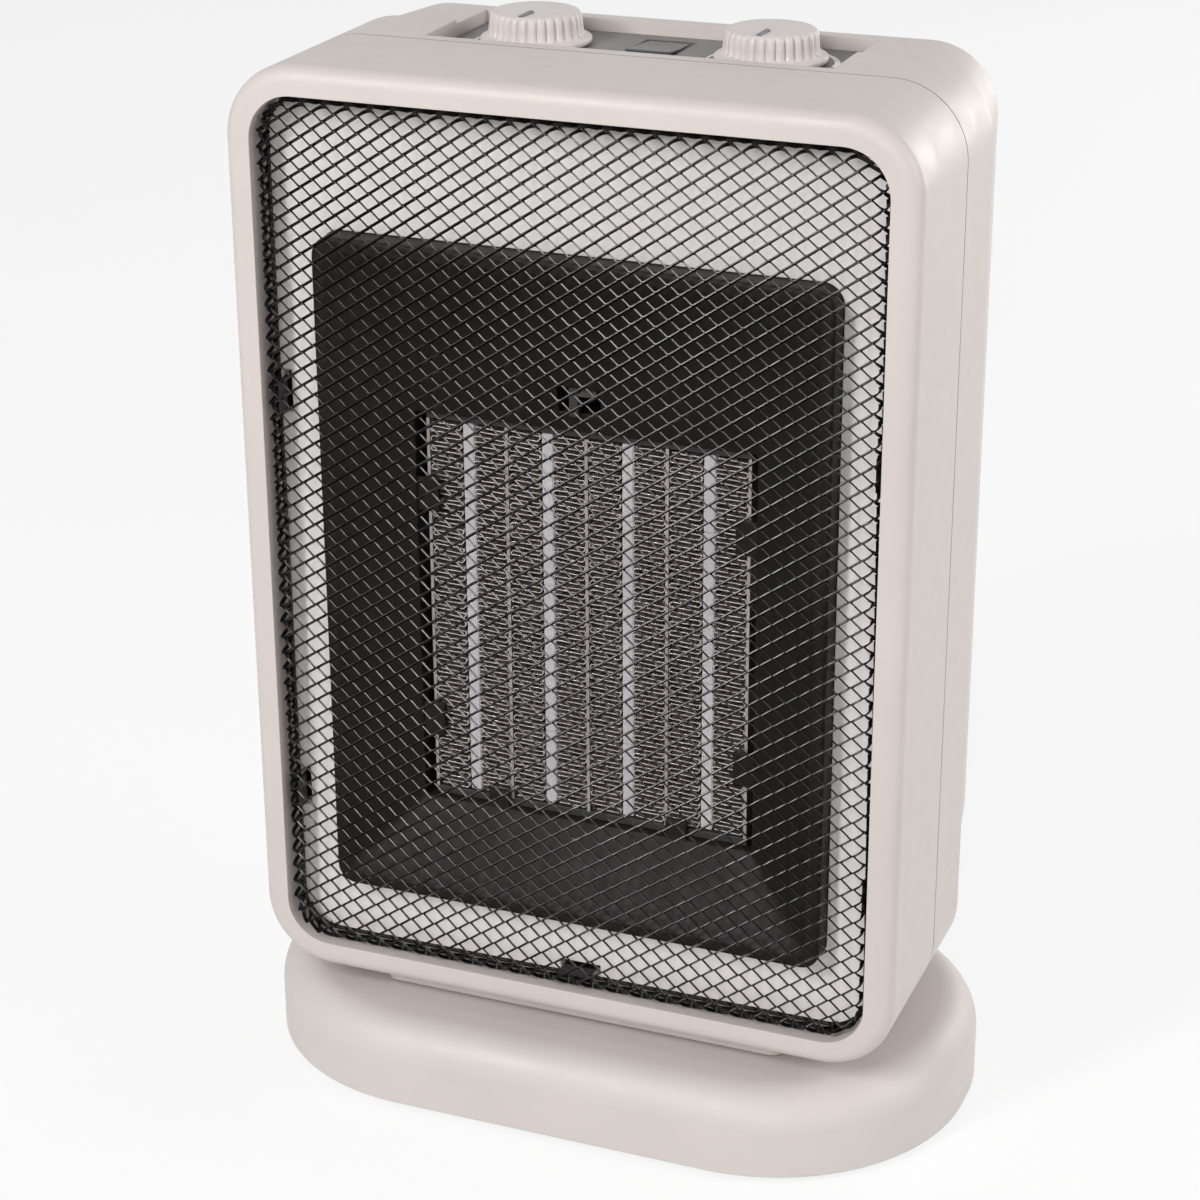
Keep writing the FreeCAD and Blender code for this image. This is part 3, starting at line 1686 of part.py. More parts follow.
base_holes.append(rod("base_gland_hole", "y", gland, plan_reach - 6, plan_reach + 1, (0, gland_z)))
keep("base_cover", cut("base_cover", fuse("base_joined", shell.body, *base_bosses), *base_holes))
drive_screws = []
for number, spot in enumerate(drive_spots):
    shank = rod(f"drive_screw_shank_{number}", "z", small, drive_top - 1.5, drive_top + 2.6, spot)
    cap = rod(f"drive_screw_cap_{number}", "z", 1.9, drive_top - 2.6, drive_top - 1.2, spot)
    drive_screws.append(fuse(f"drive_screw_{number}", shank, cap))
keep("drive_screws", group("drive_screws", drive_screws))

# Swivel bush in the cover

bush_ring = tube(
    "bush_ring",
    "z",
    bush_out_radius,
    pivot + cell("pivot_fit"),
    ceiling - cell("bush_wall"),
    base_top + 0.3,
    (0, 0),
)
bush_lip = tube(
    "bush_lip",
    "z",
    bush_out_radius + cell("bush_flange") - 1,
    bush_out_radius - 0.5,
    ceiling - cell("bush_wall"),
    ceiling,
    (0, 0),
)
keep("swivel_bush", fuse("swivel_bush", bush_ring, bush_lip))

# Base plate, feet and screws

shell = Shell("plate_shell")
edge_gap = skin + cell("plate_fit")
shell.pad(
    shell.outline(
        "XY_Plane",
        plate_low,
        (-plan_half + edge_gap, plan_half - edge_gap),
        (-plan_reach + edge_gap, plan_reach - edge_gap),
        cell("base_round") - edge_gap,
    ),
    cell("plate_wall"),
)
plunger = cell("plunger_radius")
plunger_x = -(plan_half - 58)
plunger_y = -(plan_reach - 30)
plate_holes = [
    rod(f"plate_hole_{number}", "z", screw_hole, plate_low - 1, plate_top + 1, spot)
    for number, spot in enumerate(base_spots)
]
plate_holes += [
    rod(f"plate_seat_{number}", "z", screw_head + 0.3, plate_low - 1, plate_low + 1.3, spot)
    for number, spot in enumerate(base_spots)
]
plate_holes.append(
    rod("plate_plunger_hole", "z", plunger + 0.5, plate_low - 1, plate_top + 1, (plunger_x, plunger_y)),
)
foot = cell("foot_radius")
foot_spots = [(sign * (plan_half - 40), other * (plan_reach - 15)) for sign in (-1, 1) for other in (-1, 1)]
plate_holes += [
    rod(f"plate_foot_seat_{number}", "z", foot, plate_low - 1, plate_low + 0.8, spot)
    for number, spot in enumerate(foot_spots)
]
keep("base_plate", cut("base_plate", shell.body, *plate_holes))
feet = [
    fuse(
        f"foot_{number}",
        rod(f"foot_disc_{number}", "z", foot, plate_low - 0.5, plate_low + 0.8, spot),
        cone(f"foot_pad_{number}", "z", foot - 1, foot, 0, plate_low - 0.5, spot),
    )
    for number, spot in enumerate(foot_spots)
]
keep("rubber_feet", group("rubber_feet", feet))
base_screws = []
for number, spot in enumerate(base_spots):
    shank = rod(f"base_screw_shank_{number}", "z", screw, plate_low + 0.8, plate_top + 10, spot)
    cap = rod(f"base_screw_cap_{number}", "z", screw_head, plate_low + 0.1, plate_low + 1.3, spot)
    base_screws.append(fuse(f"base_screw_{number}", shank, cap))
keep("base_screws", group("base_screws", base_screws))

# Tip switch with its plunger

case_top = plate_top + 13
collar_low = plate_top + 3 + cell("plunger_travel") + 0.3
tip_case = box(
    "tip_case",
    (plunger_x - 10, plunger_x + 10),
    (plunger_y - 8, plunger_y + 8),
    (plate_top, case_top),
)
tip_bore = rod(
    "tip_bore",
    "z",
    plunger + cell("plunger_fit"),
    plate_top - 1,
    plate_top + 4,
    (plunger_x, plunger_y),
)
tip_room = rod("tip_room", "z", plunger + 2, plate_top + 3, case_top - 2, (plunger_x, plunger_y))
keep("tip_switch", cut("tip_switch", tip_case, tip_bore, tip_room))
stem = rod("plunger_stem", "z", plunger, 0, collar_low + 1, (plunger_x, plunger_y))
stop = rod("plunger_stop", "z", plunger + 1.6, collar_low, collar_low + 2, (plunger_x, plunger_y))
keep("tip_plunger", fuse("tip_plunger", stem, stop))

# Cord gland in the rear of the base

gland_neck = rod("gland_neck", "y", gland, plan_reach - skin - 3, plan_reach - 0.2, (0, gland_z))
gland_flange = rod("gland_flange", "y", gland + 0.9, plan_reach - skin - 3, plan_reach - skin, (0, gland_z))
gland_eye = rod("gland_eye", "y", cell("gland_bore"), plan_reach - skin - 5, plan_reach + 1, (0, gland_z))
keep("cord_gland", cut("cord_gland", fuse("gland_joined", gland_neck, gland_flange), gland_eye))

# Check and export

doc.recompute()
faults = []
for item in doc.Objects:
    if "Invalid" in item.State or "Error" in item.State:
        faults.append(f"{item.Name}: {item.State}")
for label, piece in pieces.items():
    shape = piece.Shape
    if shape.isNull() or not shape.isValid() or not shape.Solids:
        faults.append(f"{label}: shape not sound")
if faults:
    raise RuntimeError("; ".join(faults))
for label, piece in pieces.items():
    piece.Shape.exportStep(f"parts/{label}.step")
print(f"{len(pieces)} pieces written")
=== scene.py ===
"""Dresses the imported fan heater: a class for each sub-assembly and a dataclass for each finish."""

from __future__ import annotations

import json
import logging
import math
import random
from dataclasses import dataclass
from enum import Enum
from typing import Any, ClassVar, Sequence

import bmesh
import bpy
import numpy as np
from mathutils import Matrix, Vector

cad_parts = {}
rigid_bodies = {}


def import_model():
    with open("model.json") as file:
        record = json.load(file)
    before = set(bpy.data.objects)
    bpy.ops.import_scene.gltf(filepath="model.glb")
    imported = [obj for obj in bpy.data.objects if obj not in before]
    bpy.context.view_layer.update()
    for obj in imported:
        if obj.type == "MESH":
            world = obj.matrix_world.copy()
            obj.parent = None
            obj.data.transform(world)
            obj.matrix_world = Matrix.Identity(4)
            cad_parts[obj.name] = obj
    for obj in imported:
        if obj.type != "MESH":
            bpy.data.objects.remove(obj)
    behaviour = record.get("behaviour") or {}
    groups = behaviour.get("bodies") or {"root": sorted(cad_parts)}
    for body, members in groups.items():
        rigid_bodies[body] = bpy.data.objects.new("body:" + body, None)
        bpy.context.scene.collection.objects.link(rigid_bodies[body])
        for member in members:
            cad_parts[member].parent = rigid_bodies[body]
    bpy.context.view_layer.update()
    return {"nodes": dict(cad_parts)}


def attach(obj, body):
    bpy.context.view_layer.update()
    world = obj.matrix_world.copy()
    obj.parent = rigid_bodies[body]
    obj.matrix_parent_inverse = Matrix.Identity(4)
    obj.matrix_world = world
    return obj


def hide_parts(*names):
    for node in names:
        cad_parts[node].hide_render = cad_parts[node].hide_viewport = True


for leftover in list(bpy.data.objects):
    bpy.data.objects.remove(leftover)
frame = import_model()
log = logging.getLogger("fan_heater")

MM = 0.001
Colour = tuple[float, float, float]
Triple = tuple[float, float, float]
Faces = list[list[int]]
Socket = bpy.types.NodeSocket


def shade(red: int, green: int, blue: int) -> Colour:
    """Turn a screen colour into the linear one that a shader takes.

    Args:
        red: Red from 0 to 255.
        green: Green from 0 to 255.
        blue: Blue from 0 to 255.

    Returns:
        The three linear values.
    """
    linear = []
    for level in (red, green, blue):
        part = level / 255
        linear.append(part / 12.92 if part <= 0.04045 else ((part + 0.055) / 1.055) ** 2.4)
    return linear[0], linear[1], linear[2]


def scaled(colour: Colour, factor: float) -> tuple[float, float, float, float]:
    """Return a colour times a factor, with full alpha."""
    return colour[0] * factor, colour[1] * factor, colour[2] * factor, 1.0


class Grain(Enum):
    """How a moulded face was textured in its tool: grains per metre and depth in metres."""

    SATIN = (1500.0, 0.00003)
    FINE = (2600.0, 0.00002)
    SPARK = (1100.0, 0.00006)
    SMOOTH = (500.0, 0.000006)

    @property
    def scale(self) -> float:
        """Grains per metre."""
        return self.value[0]

    @property
    def depth(self) -> float:
        """Depth of the grain in metres."""
        return self.value[1]


class Side(Enum):
    """The two sides of the heater as seen from the front."""

    LEFT = -1
    RIGHT = 1


class Desk:
    """A node tree with short calls that add and wire its nodes."""

    def __init__(self, tree: bpy.types.NodeTree) -> None:
        """Keep the tree that the calls work on."""
        self.tree = tree

    def put(self, socket: Socket, value: Any) -> None:
        """Wire a socket to another one, or set its value."""
        if isinstance(value, bpy.types.NodeSocket):
            self.tree.links.new(value, socket)
        else:
            socket.default_value = value

    def add(self, kind: str, wires: dict[Any, Any] | None = None, **settings: Any) -> bpy.types.Node:
        """Add a node.

        Args:
            kind: Blender's name for the node type.
            wires: Input sockets by name or number, with a value or a socket for each.
            **settings: Properties of the node itself.

        Returns:
            The new node.
        """
        node = self.tree.nodes.new(kind)
        for label, value in settings.items():
            setattr(node, label, value)
        for label, value in (wires or {}).items():
            self.put(node.inputs[label], value)
        return node

    def sum(self, operation: str, first: Any, second: Any = 0.0, clamp: bool = False) -> Socket:
        """Return what a Math operation makes of two values or sockets, kept from 0 to 1 if clamp is set."""
        node = self.add("ShaderNodeMath", {0: first, 1: second}, operation=operation, use_clamp=clamp)
        return node.outputs[0]

    def ramp(self, value: Any, low: float, high: float, start: float = 0.0, end: float = 1.0) -> Socket:
        """Map a value smoothly from one range to another.

        Args:
            value: Value or socket to map.
            low: Value that gives start.
            high: Value that gives end.
            start: Result at low.
            end: Result at high.

        Returns:
            The socket with the mapped value.
        """
        wires = {"Value": value, "From Min": low, "From Max": high, "To Min": start, "To Max": end}
        node = self.add("ShaderNodeMapRange", wires, interpolation_type="SMOOTHSTEP")
        return node.outputs["Result"]

    def blend(self, factor: Any, first: Any, second: Any) -> Socket:
        """Mix two colours.

        Args:
            factor: Share of the second colour.
            first: First colour or socket.
            second: Second colour or socket.

        Returns:
            The socket with the mixed colour.
        """
        node = self.add("ShaderNodeMix", data_type="RGBA")
        self.put(node.inputs["Factor"], factor)
        self.put(node.inputs[6], first)
        self.put(node.inputs[7], second)
        return node.outputs[2]

    def place(self) -> Socket:
        """Return the piece's own coordinates in metres."""
        return self.add("ShaderNodeTexCoord").outputs["Object"]

    def axes(self) -> Any:
        """Return the piece's own coordinates as the sockets X, Y and Z."""
        return self.add("ShaderNodeSeparateXYZ", {0: self.place()}).outputs

    def noise(self, spot: Socket, scale: Any, detail: float = 2.0, rough: float = 0.5) -> Socket:
        """Return noise around 0.5, of scale features per metre, with octaves of detail as strong as rough."""
        wires = {"Vector": spot, "Scale": scale, "Detail": detail, "Roughness": rough}
        return self.add("ShaderNodeTexNoise", wires).outputs[0]

    def bump(self, strength: float, distance: float, **wires: Socket) -> Socket:
        """Return a normal bumped by a distance in metres, from a Height and maybe a Normal in wires."""
        return self.add("ShaderNodeBump", {"Strength": strength, "Distance": distance, **wires}).outputs[0]

    def seen(self) -> Socket:
        """Return 1 for camera, glossy and transmission rays, and 0 for the rays that light a piece."""
        path = self.add("ShaderNodeLightPath").outputs
        direct = self.sum("MAXIMUM", path["Is Camera Ray"], path["Is Glossy Ray"])
        return self.sum("MAXIMUM", direct, path["Is Transmission Ray"])

    def effect(self, kind: type["Effect"], **values: float) -> bpy.types.Node:
        """Place a shared effect with its own values.

        Args:
            kind: The effect's class.
            **values: Values of its named inputs, with _ for a space.

        Returns:
            The group node.
        """
        node = self.add("ShaderNodeGroup", node_tree=kind.group())
        for label, value in values.items():
            node.inputs[label.replace("_", " ")].default_value = value
        return node


class Effect:
    """A shader node group that several finishes share."""

    name: ClassVar[str] = ""
    inputs: ClassVar[dict[str, float]] = {}
    outputs: ClassVar[tuple[str, ...]] = ()

    @classmethod
    def group(cls) -> bpy.types.NodeTree:
        """Return the group's node tree, built once."""
        found = bpy.data.node_groups.get(cls.name)
        if found:
            return found
        tree = bpy.data.node_groups.new(cls.name, "ShaderNodeTree")
        for label, start in cls.inputs.items():
            socket = tree.interface.new_socket(label, in_out="INPUT", socket_type="NodeSocketFloat")
            socket.default_value = start
        for label in cls.outputs:
            kind = "NodeSocketVector" if label == "Normal" else "NodeSocketFloat"
            tree.interface.new_socket(label, in_out="OUTPUT", socket_type=kind)
        desk = Desk(tree)
        source = desk.add("NodeGroupInput")
        sink = desk.add("NodeGroupOutput")
        cls.wire(desk, source.outputs, sink.inputs)
        return tree

    @classmethod
    def wire(cls, desk: Desk, source: Any, sink: Any) -> None:
        """Wire the group's nodes between its inputs and outputs."""
        raise NotImplementedError


class MouldedGrain(Effect):
    """The fine pebbled texture of a moulded face, with slow changes of tone."""

    name = "moulded_grain"
    inputs = {"Scale": 1500.0}
    outputs = ("Height", "Tone", "Polish")

    @classmethod
    def wire(cls, desk: Desk, source: Any, sink: Any) -> None:
        """Wire fine noise to the height and broad noise to the tone and polish."""
        spot = desk.place()
        fine = desk.noise(spot, source["Scale"], 3.0, 0.6)
        flow = desk.noise(spot, 26.0, 3.0, 0.55)
        rub = desk.noise(spot, 160.0, 4.0, 0.6)
        desk.put(sink["Height"], fine)
        desk.put(sink["Tone"], desk.ramp(flow, 0.3, 0.7))
        desk.put(sink["Polish"], desk.ramp(desk.sum("ADD", flow, rub), 0.7, 1.3))


class SettledDust(Effect):
    """A thin film of dust on faces that look upward."""

    name = "settled_dust"
    inputs = {"Amount": 0.2, "Scale": 300.0}
    outputs = ("Mask",)

    @classmethod
    def wire(cls, desk: Desk, source: Any, sink: Any) -> None:
        """Wire the upward lean of the face, broken by noise, to the mask."""
        lean = desk.add("ShaderNodeSeparateXYZ", {0: desk.add("ShaderNodeNewGeometry").outputs["Normal"]})
        facing = desk.ramp(lean.outputs["Z"], 0.35, 1.0)
        patch = desk.ramp(desk.noise(desk.place(), source["Scale"], 4.0, 0.65), 0.35, 0.75, 0.35, 1.0)
        film = desk.sum("MULTIPLY", facing, patch)
        desk.put(sink["Mask"], desk.sum("MULTIPLY", film, source["Amount"], True))


class SoftEdge(Effect):
    """The small round that a tool leaves on every edge, and where hands rub it."""

    name = "soft_edge"
    inputs = {"Radius": 0.0004}
    outputs = ("Normal", "Edge")

    @classmethod
    def wire(cls, desk: Desk, source: Any, sink: Any) -> None:
        """Wire the rounded normal, and how far it leaves the face, to the outputs."""
        bevel = desk.add("ShaderNodeBevel", {"Radius": source["Radius"]}, samples=4)
        face = desk.add("ShaderNodeNewGeometry").outputs["Normal"]
        dot = desk.add("ShaderNodeVectorMath", {0: bevel.outputs[0], 1: face}, operation="DOT_PRODUCT")
        rub = desk.ramp(desk.noise(desk.place(), 220.0, 3.0, 0.6), 0.3, 0.7, 0.3, 1.0)
        edge = desk.ramp(desk.sum("SUBTRACT", 1.0, dot.outputs["Value"]), 0.01, 0.25)
        desk.put(sink["Normal"], bevel.outputs[0])
        desk.put(sink["Edge"], desk.sum("MULTIPLY", edge, rub))


class RolledStreak(Effect):
    """Fine lines left by rolling or turning a metal, with patches of dull oxide."""

    name = "rolled_streak"
    inputs = {"Scale": 900.0, "Along X": 0.05, "Along Y": 1.0, "Along Z": 1.0}
    outputs = ("Height", "Streak", "Oxide")

    @classmethod
    def wire(cls, desk: Desk, source: Any, sink: Any) -> None:
        """Wire stretched noise to the streaks and blotched noise to the oxide."""
        spot = desk.place()
        pull = {"X": source["Along X"], "Y": source["Along Y"], "Z": source["Along Z"]}
        stretch = desk.add("ShaderNodeCombineXYZ", pull)
        drawn = desk.add("ShaderNodeVectorMath", {0: spot, 1: stretch.outputs[0]}, operation="MULTIPLY")
        lines = desk.noise(drawn.outputs[0], source["Scale"], 3.0, 0.6)
        blot = desk.noise(spot, 340.0, 4.0, 0.6)
        desk.put(sink["Height"], lines)
        desk.put(sink["Streak"], desk.ramp(lines, 0.3, 0.7))
        desk.put(sink["Oxide"], desk.ramp(blot, 0.42, 0.66))


RUBBED_EDGE = (0.85, 0.84, 0.82, 1.0)
PALE_DUST = (0.62, 0.6, 0.57, 1.0)
GREY_DUST = (0.34, 0.33, 0.32, 1.0)
# Painted shade for the gap between the shell's halves.
SEAM_PAINTED_SHADE = (0.05, 0.045, 0.04, 1.0)


@dataclass(frozen=True)
class Finish:
    """What every finish has: a name, a colour and a roughness."""

    name: str
    colour: Colour
    roughness: float

    def material(self) -> bpy.types.Material:
        """Return the material, built once."""
        found = bpy.data.materials.get(self.name)
        if found:
            return found
        made = bpy.data.materials.new(self.name)
        made.use_nodes = True
        desk = Desk(made.node_tree)
        self.mix(desk, made.node_tree.nodes["Principled BSDF"].inputs)
        made.diffuse_color = scaled(self.colour, 1.0)
        return made

    def mix(self, desk: Desk, shader: Any) -> None:
        """Wire the finish to the shader's sockets."""
        raise NotImplementedError

    def toned(self, desk: Desk, share: Socket, dark: float, light: float) -> Socket:
        """Return the colour, from dark to light times as strong as the share grows."""
        return desk.blend(share, scaled(self.colour, dark), scaled(self.colour, light))

    def uneven(self, desk: Desk, share: Socket, below: float, above: float) -> Socket:
        """Return the roughness, from below under it to above over it as the share grows."""
        return desk.ramp(share, 0.0, 1.0, self.roughness - below, self.roughness + above)


@dataclass(frozen=True)
class Plastic(Finish):
    """A moulded plastic with tool grain, soft edges and a little dust."""

    grain: Grain = Grain.SATIN
    dust: float = 0.12
    radius: float = 0.0004
    tone: float = 0.05
    rub: float = 0.08
    specular: float = 0.5

    def mix(self, desk: Desk, shader: Any) -> None:
        """Wire grain, dust and edges to the plastic's shader."""
        grain = desk.effect(MouldedGrain, Scale=self.grain.scale)
        dust = desk.effect(SettledDust, Amount=self.dust, Scale=420.0)
        edge = desk.effect(SoftEdge, Radius=self.radius)
        base = self.body(desk, grain)
        worn = desk.blend(desk.sum("MULTIPLY", edge.outputs["Edge"], self.rub), base, RUBBED_EDGE)
        desk.put(shader["Base Color"], desk.blend(dust.outputs["Mask"], worn, PALE_DUST))
        polish = self.uneven(desk, grain.outputs["Polish"], 0.05, 0.06)
        dulled = desk.sum("MULTIPLY", dust.outputs["Mask"], 0.3)
        desk.put(shader["Roughness"], desk.sum("ADD", polish, dulled))
        wires = {"Height": grain.outputs["Height"], "Normal": edge.outputs["Normal"]}
        desk.put(shader["Normal"], desk.bump(0.6, self.grain.depth, **wires))
        desk.put(shader["Specular IOR Level"], self.specular)

    def body(self, desk: Desk, grain: bpy.types.Node) -> Socket:
        """Return the plastic's colour before dust and worn edges, with its slow changes of tone."""
        return self.toned(desk, grain.outputs["Tone"], 1 - self.tone, 1 + self.tone * 0.5)


@dataclass(frozen=True)
class ShellPlastic(Plastic):
    """The shell's plastic, with painted light that whitens the field behind the grille, and painted shade in
    the seam of its halves.

    The field's limits and the seam are in millimetres. It ends over fade at its sides and over soft in depth.
    """

    # Whiter colour painted on the field behind the grille, as painted light.
    inner: Colour = shade(252, 245, 245)
    half_width: float = 85.4
    low: float = 39.6
    high: float = 284.4
    front: float = -36.0
    back: float = -30.0
    fade: float = 0.4
    soft: float = 1.0
    seam: float = -3.85

    def body(self, desk: Desk, grain: bpy.types.Node) -> Socket:
        """Return the shell's colour, with painted light that whitens the field inside the grille's opening
        and painted shade in the seam.
        """
        spot = desk.axes()
        across = desk.sum("ABSOLUTE", spot["X"])
        rise = desk.sum("ABSOLUTE", desk.sum("SUBTRACT", spot["Z"], (self.low + self.high) / 2 * MM))
        tall = (self.high - self.low) / 2
        # Painted light: this mask covers the field behind the grille, which gets a whiter colour in place of
        # the light that the grille's shadow takes from it.
        limits = (
            desk.ramp(across, self.half_width * MM, (self.half_width + self.fade) * MM, 1.0, 0.0),
            desk.ramp(rise, tall * MM, (tall + self.fade) * MM, 1.0, 0.0),
            desk.ramp(spot["Y"], self.front * MM, (self.front + self.soft) * MM),
            desk.ramp(spot["Y"], self.back * MM, (self.back + self.soft) * MM, 1.0, 0.0),
        )
        inside = limits[0]
        for limit in limits[1:]:
            inside = desk.sum("MULTIPLY", inside, limit)
        field_with_painted_light = desk.blend(inside, super().body(desk, grain), scaled(self.inner, 1.0))
        # Painted shade: a dark line along the seam of the shell's halves, where the gap between them lies in
        # shadow.
        apart = desk.sum("ABSOLUTE", desk.sum("SUBTRACT", spot["Y"], self.seam * MM))
        return desk.blend(desk.ramp(apart, 0.16 * MM, 0.3 * MM, 0.85, 0.0), field_with_painted_light, SEAM_PAINTED_SHADE)


@dataclass(frozen=True)
class PowderCoat(Finish):
    """A thin baked coat over sheet metal, with a little dust."""

    dust: float = 0.015
    specular: float = 0.16

    def mix(self, desk: Desk, shader: Any) -> None:
        """Wire the orange-peel coat to the shader."""
        grain = desk.effect(MouldedGrain, Scale=2400.0)
        dust = desk.effect(SettledDust, Amount=self.dust, Scale=700.0)
        base = self.toned(desk, grain.outputs["Tone"], 0.85, 1.2)
        desk.put(shader["Base Color"], desk.blend(dust.outputs["Mask"], base, GREY_DUST))
        desk.put(shader["Roughness"], self.uneven(desk, grain.outputs["Polish"], 0.06, 0.08))
        desk.put(shader["Normal"], desk.bump(0.2, 0.00003, Height=grain.outputs["Height"]))
        desk.put(shader["Specular IOR Level"], self.specular)


@dataclass(frozen=True)
class Metal(Finish):
    """A bare metal with streaks along its making and blotches of oxide."""

    oxide: Colour = (0.3, 0.24, 0.2)
    tarnish: float = 0.4
    along: tuple[float, float, float] = (0.05, 1.0, 1.0)
    radius: float = 0.00015

    def mix(self, desk: Desk, shader: Any) -> None:
        """Wire streaks, oxide and edges to the metal's shader."""
        pull = {"Along_X": self.along[0], "Along_Y": self.along[1], "Along_Z": self.along[2]}
        streak = desk.effect(RolledStreak, Scale=900.0, **pull)
        edge = desk.effect(SoftEdge, Radius=self.radius)
        base = self.toned(desk, streak.outputs["Streak"], 0.88, 1.06)
        dull = self.dull(desk, streak)
        desk.put(shader["Base Color"], desk.blend(dull, base, scaled(self.oxide, 1.0)))
        rough = self.uneven(desk, streak.outputs["Streak"], 0.06, 0.08)
        desk.put(shader["Roughness"], desk.sum("ADD", rough, desk.sum("MULTIPLY", dull, 0.25)))
        wires = {"Height": streak.outputs["Height"], "Normal": edge.outputs["Normal"]}
        desk.put(shader["Normal"], desk.bump(0.25, 0.00003, **wires))
        desk.put(shader["Metallic"], 1.0)

    def dull(self, desk: Desk, streak: bpy.types.Node) -> Socket:
        """Return how much of the metal its oxide covers."""
        return desk.sum("MULTIPLY", streak.outputs["Oxide"], self.tarnish)


@dataclass(frozen=True)
class FinFoil(Metal):
    """The fins' foil, with its oxide, and painted shade that darkens it deeper between the folds behind the
    front edge.
    """

    front: float = -26.2
    depth: float = 2.4

    def dull(self, desk: Desk, streak: bpy.types.Node) -> Socket:
        """Return the oxide's cover, with painted shade added that grows with the depth behind the front edge.
        """
        # Painted shade: the foil darkens with depth behind its front edge, where shade falls between the
        # folds.
        deep = desk.ramp(desk.axes()["Y"], self.front * MM, (self.front + self.depth) * MM, 0.0, 0.85)
        return desk.sum("MAXIMUM", super().dull(desk, streak), deep)


@dataclass(frozen=True)
class Ceramic(Finish):
    """The matt pressed ceramic of the heating strips, with faint grey firing marks."""

    def mix(self, desk: Desk, shader: Any) -> None:
        """Wire the chalky surface to the shader."""
        grain = desk.effect(MouldedGrain, Scale=1900.0)
        marks = desk.ramp(desk.noise(desk.place(), 420.0, 5.0, 0.65), 0.5, 0.78, 0.0, 0.35)
        base = self.toned(desk, grain.outputs["Tone"], 0.92, 1.04)
        desk.put(shader["Base Color"], desk.blend(marks, base, scaled(self.colour, 0.6)))
        desk.put(shader["Roughness"], self.uneven(desk, grain.outputs["Polish"], 0.05, 0.05))
        desk.put(shader["Normal"], desk.bump(0.5, 0.00004, Height=grain.outputs["Height"]))


@dataclass(frozen=True)
class Lens(Finish):
    """A tinted clear plastic lens with a ribbed inner face."""

    def mix(self, desk: Desk, shader: Any) -> None:
        """Wire the tint and the ribs to the shader."""
        wave = desk.sum("SINE", desk.sum("MULTIPLY", desk.axes()["X"], 9000.0))
        ribs = desk.ramp(wave, -1.0, 1.0)
        desk.put(shader["Base Color"], self.toned(desk, ribs, 0.75, 1.05))
        desk.put(shader["Roughness"], self.uneven(desk, ribs, 0.0, 0.08))
        desk.put(shader["Normal"], desk.bump(0.5, 0.0001, Height=ribs))
        desk.put(shader["Transmission Weight"], 0.35)
        desk.put(shader["IOR"], 1.49)


PALE_SHELL = ShellPlastic("pale_shell", shade(200, 191, 186), 0.46, tone=0.025, rub=0.15, dust=0.05)
PALE_BASE = Plastic("pale_base", shade(204, 196, 192), 0.48, tone=0.03, rub=0.12, dust=0.08)
BLACK_NET = PowderCoat("black_net", shade(11, 9, 9), 0.17)
CHARCOAL_DISH = Plastic("charcoal_dish", shade(35, 31, 30), 0.5, Grain.FINE, 0.02, 0.0008, 0.12, 0.02, 0.2)
FOLDED_FIN = FinFoil(
    "folded_fin", (0.99, 0.92, 0.87), 0.34, (0.32, 0.22, 0.18), 0.4, (1.0, 0.05, 1.0), 0.00005
)
DIVIDER = Metal("divider_plate", (0.68, 0.61, 0.58), 0.36, (0.45, 0.36, 0.3), 0.5, (1.0, 1.0, 0.05))
STRIP = Ceramic("pressed_strip", shade(214, 210, 214), 0.62)
HEAT_CAP = Plastic("heat_cap", shade(58, 56, 55), 0.5, Grain.FINE, 0.05)
DUCT = Plastic("duct_plastic", shade(70, 70, 72), 0.5, Grain.SATIN, 0.1)
BLADE = Plastic("blade_plastic", shade(62, 62, 65), 0.4, Grain.SMOOTH, 0.12)
ZINC = Metal("zinc_sheet", (0.62, 0.62, 0.63), 0.38, (0.42, 0.41, 0.38), 0.35)
GROUND_STEEL = Metal("ground_steel", (0.66, 0.65, 0.64), 0.26, (0.4, 0.38, 0.35), 0.25, (1.0, 1.0, 0.06))
BRASS = Metal("sintered_brass", (0.76, 0.58, 0.3), 0.36, (0.4, 0.28, 0.14), 0.4, (1.0, 1.0, 1.0))
SCREW = Metal("plated_screw", (0.6, 0.6, 0.58), 0.34, (0.36, 0.34, 0.3), 0.3, (1.0, 1.0, 1.0))
SWITCH_BLACK = Plastic("switch_black", shade(64, 64, 66), 0.5, Grain.SATIN, 0.1)
PANEL_GREY = Plastic("panel_grey_grain", shade(116, 114, 114), 0.55, Grain.SPARK, 0.06)
KNOB_PALE = Plastic("knob_pale", shade(206, 198, 194), 0.4, Grain.SMOOTH, 0.05, 0.0005, 0.025)
ROCKER_DARK = Plastic("rocker_dark", shade(70, 70, 73), 0.35, Grain.SMOOTH, 0.06, 0.0006)
MARK_WHITE = Plastic("mark_white", shade(236, 234, 230), 0.5, Grain.FINE, 0.03, 0.00005)
POINTER_GREY = Plastic("pointer_grey", shade(88, 87, 88), 0.4, Grain.SMOOTH, 0.03, 0.0002)
AMBER = Lens("amber_lens", (0.85, 0.33, 0.04), 0.14)
NYLON = Plastic("gear_nylon", shade(236, 233, 222), 0.4, Grain.SMOOTH, 0.05, 0.0002)
RUBBER = Plastic("foot_rubber_matt", shade(52, 51, 50), 0.8, Grain.SPARK, 0.15, 0.0004)
GLAND = Plastic("gland_rubber", shade(50, 49, 49), 0.7, Grain.SATIN, 0.1, 0.0005)


